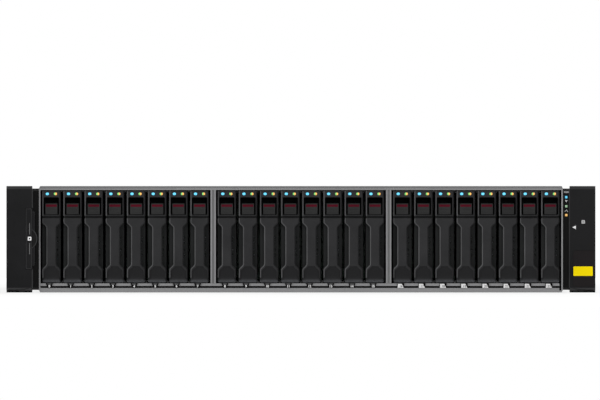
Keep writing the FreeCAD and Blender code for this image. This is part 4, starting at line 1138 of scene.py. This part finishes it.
def makeInlet():  # socket with a keyed cavity, then its three blades
    p = powerShape
    back, key = p["back"], p["inletKey"]
    deep, floor = p["inletDepths"]
    x, z, halfWide, halfTall = p["inlet"]
    inlet = addAround("powerInlet", x, z, halfWide, halfTall, back - deep, back)
    softEdges(inlet, 0.3)
    w, h = halfWide - p["inletWall"], halfTall - p["inletWall"]
    cavity = [(x - w, z - h), (x + w, z - h), (x + w, z + h - key), (x + w - key, z + h),
              (x - w + key, z + h), (x - w, z + h - key)]
    carve(inlet, addOutline("cavityCut", cavity, back - floor, back + 1))
    parts = [dressed(inlet, connectorBlack)]
    for shift, rise in p["blades"]:
        blade = addAround("blade", x + shift, z + rise, 1, 2.3, back - 21, back - 6)
        parts.append(dressed(blade, screwSteel, 0.5, 3))
    return parts


def makeRockerHousing():
    x, z, w, h = powerShape["rocker"]
    back = powerShape["back"]
    housing = addAround("rockerHousing", x, z, w, h, back - 14, back)
    softEdges(housing, 0.4)
    carve(housing, addAround("housingCut", x, z, w - 1, h - 1, back - 13, back + 1))
    return dressed(housing, connectorBlack)


def makeFanScrew(x, z):
    back = powerShape["back"]
    radius, long, thin = powerShape["screw"]
    head = addPost("fanScrew", x, z, back - 0.3, back + 1.1, radius, 24)
    softEdges(head, 0.5, 3, 30)
    carve(head, *crossBlocks("slotCut", x, z, long, thin, back + 0.5, back + 3))
    return dressed(head, screwSteel)


def makeBracket():  # plates for the handle and their pin
    p = powerShape
    x, y, z = p["handle"]
    near, far, half, radius = p["bracket"]
    parts = []
    for side in (-1, 1):
        inner, outer = x + side * near, x + side * far
        plate = addBlock("plate", (inner, p["back"] - 0.02, z - half), (outer, y, z + half))
        nose = addRod("nose", (inner, y, z), (outer, y, z), radius, 32)
        parts += [dressed(plate, moduleZinc, 0.1, 1), dressed(nose, moduleZinc, 0.1, 1)]
    pin = addRod("handlePin", (x - far, y, z), (x + far, y, z), p["pin"], 20)
    return parts + [dressed(pin, screwSteel, 0.15, 1)]


def makePowerFittings():  # inlet, rocker housing, lamp, face screws and bracket
    p = powerShape
    x, z = p["lamp"]
    lens = addPost("powerLamp", x, z, p["back"] - 1, p["back"] + 0.5, 1.5, 24)
    parts = makeInlet() + [makeRockerHousing(), dressed(lens, greenLamp, 0.4, 3)]
    x, z = p["fan"]
    away = p["screwAway"]
    parts += [makeFanScrew(x + dx, z + dz) for dx in (-away, away) for dz in (-away, away)]
    return joinUp(*parts, *makeBracket())


powerInside = {"board": ((113.3, 142.3, 2.8), (210.3, 436.3, 4.8)),
               "choke": ((136.1, 266.0, 4.8), (187.5, 329.3, 46.0)), "windings": 12,
               "winding": (268.5, 1.7, 5.1)}


def makePowerInside():  # circuit board and choke, hidden in the case
    board = addBlock("powerBoard", *powerInside["board"])
    choke = addBlock("choke", *powerInside["choke"])
    first, wide, pitch = powerInside["winding"]
    starts = [first + pitch * n for n in range(powerInside["windings"])]
    carve(choke, joinUp(*[addBlock("windingCut", (130, y, 8), (194, y + wide, 60)) for y in starts]))
    return joinUp(dressed(board, boardGreen, 0.2, 1), dressed(choke, copperWire, 0.4))


handleShape = {"half": 4.25, "thick": 2.5, "long": 66, "heel": 3.1, "dips": 6, "dip": (3.4, 30, 5, 1.7),
               "bore": 1.32}


def boredLever(start, end, *parts):  # lever and heel with the hole for their pin
    for part in parts:
        carve(part, addRod("boreCut", start, end, handleShape["bore"], 20))
        softEdges(part, 0)
    return paint(joinUp(*parts), earBlack)


def makePowerHandle():
    h = handleShape
    x, y, z = powerShape["handle"]
    left, right = x - h["half"], x + h["half"]
    grip = addBlock("powerHandle", (left, y - h["thick"], z), (right, y + h["thick"], z + h["long"]))
    softEdges(grip, 1.3, 4)
    out, first, pitch, radius = h["dip"]
    rises = [z + first + pitch * n for n in range(h["dips"])]
    dips = [addRod("gripCut", (x - 9, y + out, rise), (x + 9, y + out, rise), radius, 16) for rise in rises]
    carve(grip, joinUp(*dips))
    heel = addRod("heel", (left, y, z), (right, y, z), h["heel"], 32)
    return boredLever((x - 9, y, z), (x + 9, y, z), grip, heel)


rockerShape = {"half": 6.2, "tall": 8.4, "face": 4.5, "tip": 8, "inset": 5.0, "pinHalf": 6.8, "pin": 1.0,
               "stroke": (0.35, 3.1, 6.5), "ring": (4.8, 1.7, 0.28)}


def makeRocker():
    r = rockerShape
    x, z = powerShape["rocker"][:2]
    y, tall = powerShape["back"] - r["inset"], r["tall"]
    face = y + r["face"]
    tip = math.radians(r["tip"])
    rise = tall * math.tan(tip)
    side = [(y - 1, z - 1), (face - rise, z - tall), (face + rise / 2, z - tall), (face - rise / 2, z),
            (face + rise / 2, z + tall), (face - rise, z + tall), (y - 1, z + 1)]
    rocker = addOutline("rocker", side, x - r["half"], x + r["half"], "x")
    softEdges(rocker, 0.35, 3, 30)
    pin = addRod("rockerPin", (x - r["pinHalf"], y, z), (x + r["pinHalf"], y, z), r["pin"], 20)
    paint(joinUp(rocker, softEdges(pin, 0.1, 1)), connectorBlack)
    half, low, high = r["stroke"]
    stroke = addBlock("onMark", (x - half, face - 0.3, z + low), (x + half, face + 0.12, z + high))
    drop, radius, wire = r["ring"]
    ring = addRing("offMark", (x, face - 0.08, z - drop), radius, wire, 28)
    joinUp(rocker, dressed(stroke, whiteInk), dressed(ring, whiteInk))
    place = atMm(x, y, z)
    toPin, back = Matrix.Translation(-place), Matrix.Translation(place)
    rocker.data.transform(back @ Matrix.Rotation(tip, 4, "X") @ toPin)
    return rocker


fanShape = {"hub": 12.0, "bore": 1.56, "front": 497.1, "back": 517.2, "dish": (8.5, 0.5), "blades": 7,
            "root": 10.5, "tip": 27.5, "half": 9.0, "thick": 0.7, "camber": 1.3, "rootPitch": 46.0,
            "tipPitch": 32.0, "wrap": 13.0}


def makeBlade():  # twisted blade, thinner towards its edges
    f = fanShape
    blade = addBlock("blade", (0, -1, -1), (1, 1, 1))
    bpy.ops.object.mode_set(mode="EDIT")
    bpy.ops.mesh.select_all(action="SELECT")
    bpy.ops.mesh.subdivide(number_cuts=5)
    bpy.ops.object.mode_set(mode="OBJECT")
    for vert in blade.data.vertices:
        u, t, c = vert.co.x * 1000, (vert.co.y - frontY) * 1000, vert.co.z * 1000
        far = f["root"] + (f["tip"] - f["root"]) * u
        pitch = math.radians(f["rootPitch"] + (f["tipPitch"] - f["rootPitch"]) * u)
        camber = f["camber"] * (1 - c * c)
        thick = t * f["thick"] * (1.08 - 0.75 * c * c)
        z = c * f["half"] * math.cos(pitch) + thick * math.sin(pitch)
        y = -c * f["half"] * math.sin(pitch) + (thick + camber) * math.cos(pitch)
        turn = z / max(far, f["wrap"])
        vert.co = Vector((far * math.cos(turn), y, far * math.sin(turn))) / 1000
    return softEdges(blade, 0)


def makeFanRotor():
    f = fanShape
    x, z = powerShape["fan"]
    front, back = f["front"], f["back"]
    hub = addPost("fanRotor", x, z, front, back, f["hub"], 48)
    softEdges(hub, 1.2, 4)
    radius, deep = f["dish"]
    carve(hub, addPost("boreCut", x, z, front - 1, back + 1, f["bore"], 20))
    carve(hub, addPost("dishCut", x, z, back - deep, back + 1, radius, 40))
    softEdges(hub, 0)
    pattern = makeBlade()
    blades = []
    for n in range(f["blades"]):
        twin = copyAside(pattern, "blade")
        twin.data.transform(Matrix.Rotation(math.radians(n * 360 / f["blades"]), 4, "Y"))
        twin.data.transform(Matrix.Translation(atMm(x, (front + back) / 2, z)))
        blades.append(twin)
    bpy.data.objects.remove(pattern)
    return paint(joinUp(hub, *blades), connectorBlack)


def settleTwins(piece, twin, labels, body, slotName, node):  # each of the two by its own side or level
    stem = piece.name.split(".")[0]
    for one, label in zip((piece, twin), labels):
        one.name = stem + "_" + label
        nodes = (node % label,) if node else ()
        settle(one, body % label, slotName, *nodes)


def placePair(piece, body, slotName, node=None, shifted=False):  # right-hand piece and its left-hand twin
    twin = copyAside(piece, "twin", -2 * powerShape["fan"][0] / 1000 if shifted else 0)
    if not shifted:
        mirrorAcross(twin)
    settleTwins(piece, twin, ("right", "left"), body, slotName, node)


placePair(makePowerShell(), "power_%s", "module_steel", "power_%s_case")
placePair(makeFanFrame(), "power_%s", "fan_black")
placePair(makePowerFittings(), "power_%s", "connector_black")
placePair(makePowerInside(), "power_%s", "board_green")
placePair(makePowerHandle(), "power_%s_handle", "handle_plastic", "power_%s_handle")
placePair(makeRocker(), "power_%s_switch", "switch_plastic", "power_%s_switch")
placePair(makeFanRotor(), "power_%s_fan", "fan_black", "power_%s_fan", True)
print("power units done")


# rear controllers, modelled for the lower bay and lifted for the upper one
controller = {"half": 108.5, "front": 139.3, "back": 519.3, "foot": 1.5, "tall": 41.2, "sheet": 1.0,
              "face": 1.5, "lift": 43.0, "slack": 0.05, "ports": (-20.0, -4.4, 11.2, 26.8),
              "port": (13.8, 8.8, 45.0, 0.9), "portLow": 8.1, "portOut": 0.6, "tongue": (4.6, 2.4, 4.6, 6),
              "lan": (72.0, 11.8, 8.4, 14.0, 2.0), "key": (3.2, 2.2), "contacts": 8,
              "contact": (3.57, 1.02, 0.22), "vents": 17, "ventPitch": 5.0, "vent": (1.5, 28.5, 37.5),
              "arm": (-100.5, 523.3, 16.0), "bracket": (3, 2.98, 1.4, (-7.2, 5.8)), "pin": 1.25,
              "knob": (97.0, 31.5), "lamps": (46.0, 50.0), "lampRise": 14, "figureRise": 22.3}


def portShells():  # port gang and network jack: left, right, depth and height
    c = controller
    wide, tall, deep, wall = c["port"]
    side = wide / 2 + wall
    gang = (c["ports"][0] - side, c["ports"][-1] + side, deep + wall, tall + 2 * wall)
    x, wide, tall, deep, wall = c["lan"]
    side = wide / 2 + wall
    return gang, (x - side, x + side, deep + wall, tall + 2 * wall)


def makeTray():
    c = controller
    half, front, foot, back, sheet = c["half"], c["front"], c["foot"], c["back"], c["sheet"]
    top, inside = foot + c["tall"], back - c["face"]
    tray = addBlock("controllerTray", (-half, front, foot), (half, back, top))
    softEdges(tray, 0.4)
    carve(tray, addBlock("trayCut", (-half + sheet, front - 2, foot + sheet),
                         (half - sheet, inside, top + 2)))
    low, slack = c["portLow"], c["slack"]
    holes = []
    for left, right, deep, tall in portShells():
        holes.append(addBlock("shellCut", (left - slack, inside - 1, low - slack),
                              (right + slack, back + 1, low + tall + slack)))
    half, low, high = c["vent"]
    for n in range(c["vents"]):
        x = c["ports"][0] + n * c["ventPitch"]
        outline = roundedRect(x - half, x + half, low, high, 1.4, 4)
        holes.append(addOutline("ventCut", outline, inside - 1, back + 1))
    carve(tray, joinUp(*holes))
    parts = [dressed(tray, moduleZinc)]
    x, y, rise = c["arm"]
    half, radius, thick, steps = c["bracket"]
    for z in [foot + rise + step for step in steps]:  # bracket plates for the lever
        plate = addBlock("plate", (x - half, back - 0.02, z), (x + half, y, z + thick))
        nose = addRod("nose", (x, y, z), (x, y, z + thick), radius, 32)
        parts += [dressed(plate, moduleZinc, 0.1, 1), dressed(nose, moduleZinc, 0.1, 1)]
    pin = addRod("armPin", (x, y, foot + rise + steps[0]), (x, y, foot + rise - steps[0]), c["pin"], 20)
    return joinUp(*parts, dressed(pin, screwSteel, 0.15, 1))


knobShape = {"points": 60, "radius": 4.0, "knurl": 0.25, "collar": 4.8, "tip": (3.1, 2.6), "slot": (4, 0.4)}


def makeFaceFittings():  # knurled screw, lamps and port figures on the face
    c, k = controller, knobShape
    back, foot = c["back"], c["foot"]
    x, z = c["knob"][0], foot + c["knob"][1]
    knurls = []
    for n in range(k["points"]):
        radius, turn = k["radius"] - k["knurl"] * (n % 2), math.radians(n * 360 / k["points"])
        knurls.append((x + radius * math.cos(turn), z + radius * math.sin(turn)))
    knob = addOutline("faceFittings", knurls, back + 0.8, back + 6.2)
    collar = addPost("collar", x, z, back - 0.3, back + 1.0, k["collar"], 32)
    wide, narrow = k["tip"]
    tip = addPost("tip", x, z, back + 6.1, back + 7.0, wide, 32, narrow)
    carve(tip, addAround("slotCut", x, z, *k["slot"], back + 6.5, back + 9))
    parts = [dressed(knob, screwSteel), dressed(collar, screwSteel, 0.2), dressed(tip, screwSteel, 0.2)]
    for x, finish in zip(c["lamps"], (greenLamp, amberLamp)):
        lens = addPost("faceLamp", x, foot + c["lampRise"], back - 1, back + 0.4, 1.2, 20)
        parts.append(dressed(lens, finish, 0.3))
    for n, x in enumerate(c["ports"]):
        place = (x, back + 0.01, foot + c["figureRise"])
        parts.append(addText("portFigure", str(n), 3.0, place, blackInk, 180))
    return joinUp(*parts)


def makeJack(jack, back):  # socket with a keyway for the latch, then its contacts
    c = controller
    x, wide, tall, deep, wall = c["lan"]
    half, (keyHalf, keyTall) = wide / 2, c["key"]
    low = c["portLow"] + wall
    top, shoulder = low + tall, low + keyTall
    softEdges(jack, 0.3)
    keyway = [(x - half, top), (x - half, shoulder), (x - keyHalf, shoulder), (x - keyHalf, low),
              (x + keyHalf, low), (x + keyHalf, shoulder), (x + half, shoulder), (x + half, top)]
    carve(jack, addOutline("jackCut", keyway, back - deep, back + 1))
    parts = [dressed(jack, screwSteel)]
    first, pitch, radius = c["contact"]
    for n in range(c["contacts"]):
        across = x - first + pitch * n
        wire = addRod("contact", (across, back - deep + 0.2, top - 0.5), (across, back - 3, top - 2.2),
                      radius, 8)
        parts.append(dressed(wire, copperWire))
    return parts


def makePorts():
    c = controller
    wide, tall, deep, wall = c["port"]
    low, back = c["portLow"], c["back"] + c["portOut"]
    gang, jack = [addBlock(name, (left, back - far, low), (right, back, low + rise))
                  for name, (left, right, far, rise) in zip(("ports", "lanJack"), portShells())]
    softEdges(gang, 0.2, 1)
    half, foot, end = wide / 2, low + wall, back - deep
    cuts = [addBlock("portCut", (x - half, end, foot), (x + half, back + 1, foot + tall))
            for x in c["ports"]]
    carve(gang, joinUp(*cuts))
    parts = [dressed(gang, screwSteel)]
    half, rise, head, long = c["tongue"]
    for x in c["ports"]:  # contact block at the end of each port
        tongue = addBlock("tongue", (x - half, end, foot + rise), (x + half, end + long, foot + head))
        parts.append(dressed(tongue, connectorBlack, 0.2, 1))
    return joinUp(*parts, *makeJack(jack, back))


boardShape = {"half": 103.5, "front": 143.3, "back": 517.5, "floor": 2.5, "low": 6.5, "top": 8.1,
              "post": 2.5, "postX": (-99.5, 0, 99.5), "postY": (147.3, 505.5), "parts": 188.3,
              "sink": (-91.5, 70, 90, 20), "fins": 13, "fin": (1.2, 4), "sticks": 6,
              "stick": (-12.5, 9, 4, 120, 24), "dips": 8, "dip": (192, 14.4, 2.5, 0.9), "chip": 2.2,
              "chips": ((60, 340, 13, 13), (-70, 330, 15, 11), (-60, 420, 11, 17), (20, 400, 9, 9),
                        (70, 200, 10, 20))}


def makeHeatSink():
    b = boardShape
    y, top = b["parts"], b["top"]
    x, wide, deep, tall = b["sink"]
    fin, base = b["fin"]
    sink = addBlock("heatSink", (x, y, top), (x + wide, y + deep, top + tall))
    pitch = (wide - fin) / b["fins"]
    gaps = [addBlock("finCut", (x + fin + n * pitch, 180, top + base), (x + (n + 1) * pitch, 290, top + 30))
            for n in range(b["fins"])]
    carve(sink, joinUp(*gaps))
    return dressed(sink, driveCase, 0.15, 1)


def makeMemory(n):  # memory stick with a row of chips on one side
    b = boardShape
    top = b["top"]
    first, pitch, thick, long, tall = b["stick"]
    x = first + pitch * n
    stick = addBlock("memory", (x, b["parts"], top), (x + thick, b["parts"] + long, top + tall))
    start, step, wide, deep = b["dip"]
    rows = [start + step * k for k in range(b["dips"])]
    cuts = [addBlock("chipCut", (x - 1, y, top + 7), (x + deep, y + wide, top + 22)) for y in rows]
    carve(stick, joinUp(*cuts))
    return dressed(stick, connectorBlack, 0.3)


def makeBoard():
    b = boardShape
    low, top = b["low"], b["top"]
    board = addBlock("controllerBoard", (-b["half"], b["front"], low), (b["half"], b["back"], top))
    parts = [dressed(board, boardGreen, 0.15, 1)]
    for x in b["postX"]:
        for y in b["postY"]:
            post = addRod("post", (x, y, b["floor"]), (x, y, low), b["post"], 6)
            parts.append(dressed(post, screwSteel, 0.2, 1))
    parts.append(makeHeatSink())
    parts += [makeMemory(n) for n in range(b["sticks"])]
    for x, y, w, d in b["chips"]:
        chip = addBlock("chip", (x - w, y - d, top - 0.1), (x + w, y + d, top + b["chip"]))
        parts.append(dressed(chip, connectorBlack, 0.4))
    return joinUp(*parts)


ejectorShape = {"half": 5.5, "thick": 2, "long": 66, "heel": 2.7, "dish": (34, 60, 3.2, 1.1)}


def makeEjector():
    e = ejectorShape
    x, y, rise = controller["arm"]
    z, half = controller["foot"] + rise, e["half"]
    arm = addBlock("ejector", (x, y - e["thick"], z - half), (x + e["long"], y + e["thick"], z + half))
    softEdges(arm, 1.1, 4)
    start, end, tall, deep = e["dish"]
    outline = roundedRect(x + start, x + end, z - tall, z + tall, tall - 0.1, 6)
    carve(arm, addOutline("dishCut", outline, y + deep, y + 4))
    heel = addRod("heel", (x, y, z - half), (x, y, z + half), e["heel"], 32)
    return boredLever((x, y, z - 9), (x, y, z + 9), arm, heel)


def placeStack(piece, body, slotName, node=None):  # lower piece and its twin one bay higher
    twin = copyAside(piece, "twin")
    twin.data.transform(Matrix.Translation((0, 0, controller["lift"] / 1000)))
    settleTwins(piece, twin, ("lower", "upper"), body, slotName, node)


placeStack(makeTray(), "controller_%s", "module_steel", "controller_%s_tray")
placeStack(makeFaceFittings(), "controller_%s", "screw_steel")
placeStack(makePorts(), "controller_%s", "module_steel")
placeStack(makeBoard(), "controller_%s", "board_green", "controller_%s_board")
placeStack(makeEjector(), "controller_%s_lever", "handle_plastic", "controller_%s_lever")
print("controllers done")


# stage: pale floor, white surround, soft lamps, camera in front
def seenDirectly(tree):  # camera, glossy and clear rays see the white surround
    light = addNode(tree, "LightPath").outputs
    seen = mathNode(tree, "MAXIMUM", light["Is Camera Ray"], light["Is Glossy Ray"])
    return mathNode(tree, "MAXIMUM", seen, light["Is Transmission Ray"])


def blendShaders(tree, share, first, second, end):
    mix = addNode(tree, "MixShader")
    for source, socket in zip((share, first.outputs[0], second.outputs[0]), mix.inputs):
        tree.links.new(source, socket)
    tree.links.new(mix.outputs[0], tree.nodes[end].inputs["Surface"])


floorShape = {"radius": 1.3, "drop": 0.0004, "tone": 0.8, "glow": 1.22, "share": (0.62, 1.0),
              "fade": (0.65, 1.2)}


def makeFloor():  # fades into the white surround at its rim
    f = floorShape
    pickNone()
    bpy.ops.mesh.primitive_circle_add(vertices=64, radius=f["radius"], fill_type="NGON",
                                      location=(0, 0, -f["drop"]))
    floor = keptAs("floor")
    finish, tree, shader = newFinish("paleFloor")
    feedAll(tree, shader, Base_Color=[f["tone"]] * 3 + [1], Roughness=0.9, Specular_IOR_Level=0.0)
    glow = addNode(tree, "Emission", Strength=f["glow"])
    away = addNode(tree, "VectorMath")
    away.operation = "LENGTH"
    feed(tree, objectPlace(tree), away.inputs[0])
    fade = spread(tree, away.outputs["Value"], *f["share"], *f["fade"])
    share = mathNode(tree, "MULTIPLY", fade, seenDirectly(tree))
    blendShaders(tree, share, shader, glow, "Material Output")
    paint(floor, finish)


def makeSurround():
    world = bpy.data.worlds.new("surround")
    scene.world = world
    world.use_nodes = True
    tree = world.node_tree
    soft = tree.nodes["Background"]
    feedAll(tree, soft, Color=(1, 1, 1, 1), Strength=0.38)
    white = addNode(tree, "Background", Color=(1, 1, 1, 1), Strength=1.0)
    blendShaders(tree, seenDirectly(tree), soft, white, "World Output")


def addLamp(name, place, size, watts):
    pickNone()
    bpy.ops.object.light_add(type="AREA", location=place)
    lamp = bpy.context.object
    lamp.name = name
    lamp.data.size = size
    lamp.data.energy = watts
    lamp.rotation_euler = (Vector((0, 0, 0.05)) - Vector(place)).to_track_quat("-Z", "Y").to_euler()


studio = {"key": ((-2.5, -2.35, 1.0), 1.6, 50.0), "fill": ((0.8, -3.2, 1.0), 2.0, 30.0),
          "rear": ((1.8, 2.4, 2.1), 1.6, 48.0)}
makeFloor()
makeSurround()
for name, (place, size, watts) in studio.items():
    addLamp(name + "Lamp", place, size, watts)

view = {"lens": 600.0, "sensor": 36.0, "distance": 8.2, "x": -0.00074, "z": 0.07577, "reach": 100.0}
bpy.ops.object.camera_add(location=(view["x"], frontY - view["distance"], view["z"]),
                          rotation=(math.pi / 2, 0, 0))
camera = bpy.context.object
camera.data.lens = view["lens"]
camera.data.sensor_width = view["sensor"]
camera.data.clip_end = view["reach"]
scene.camera = camera
print("stage set")
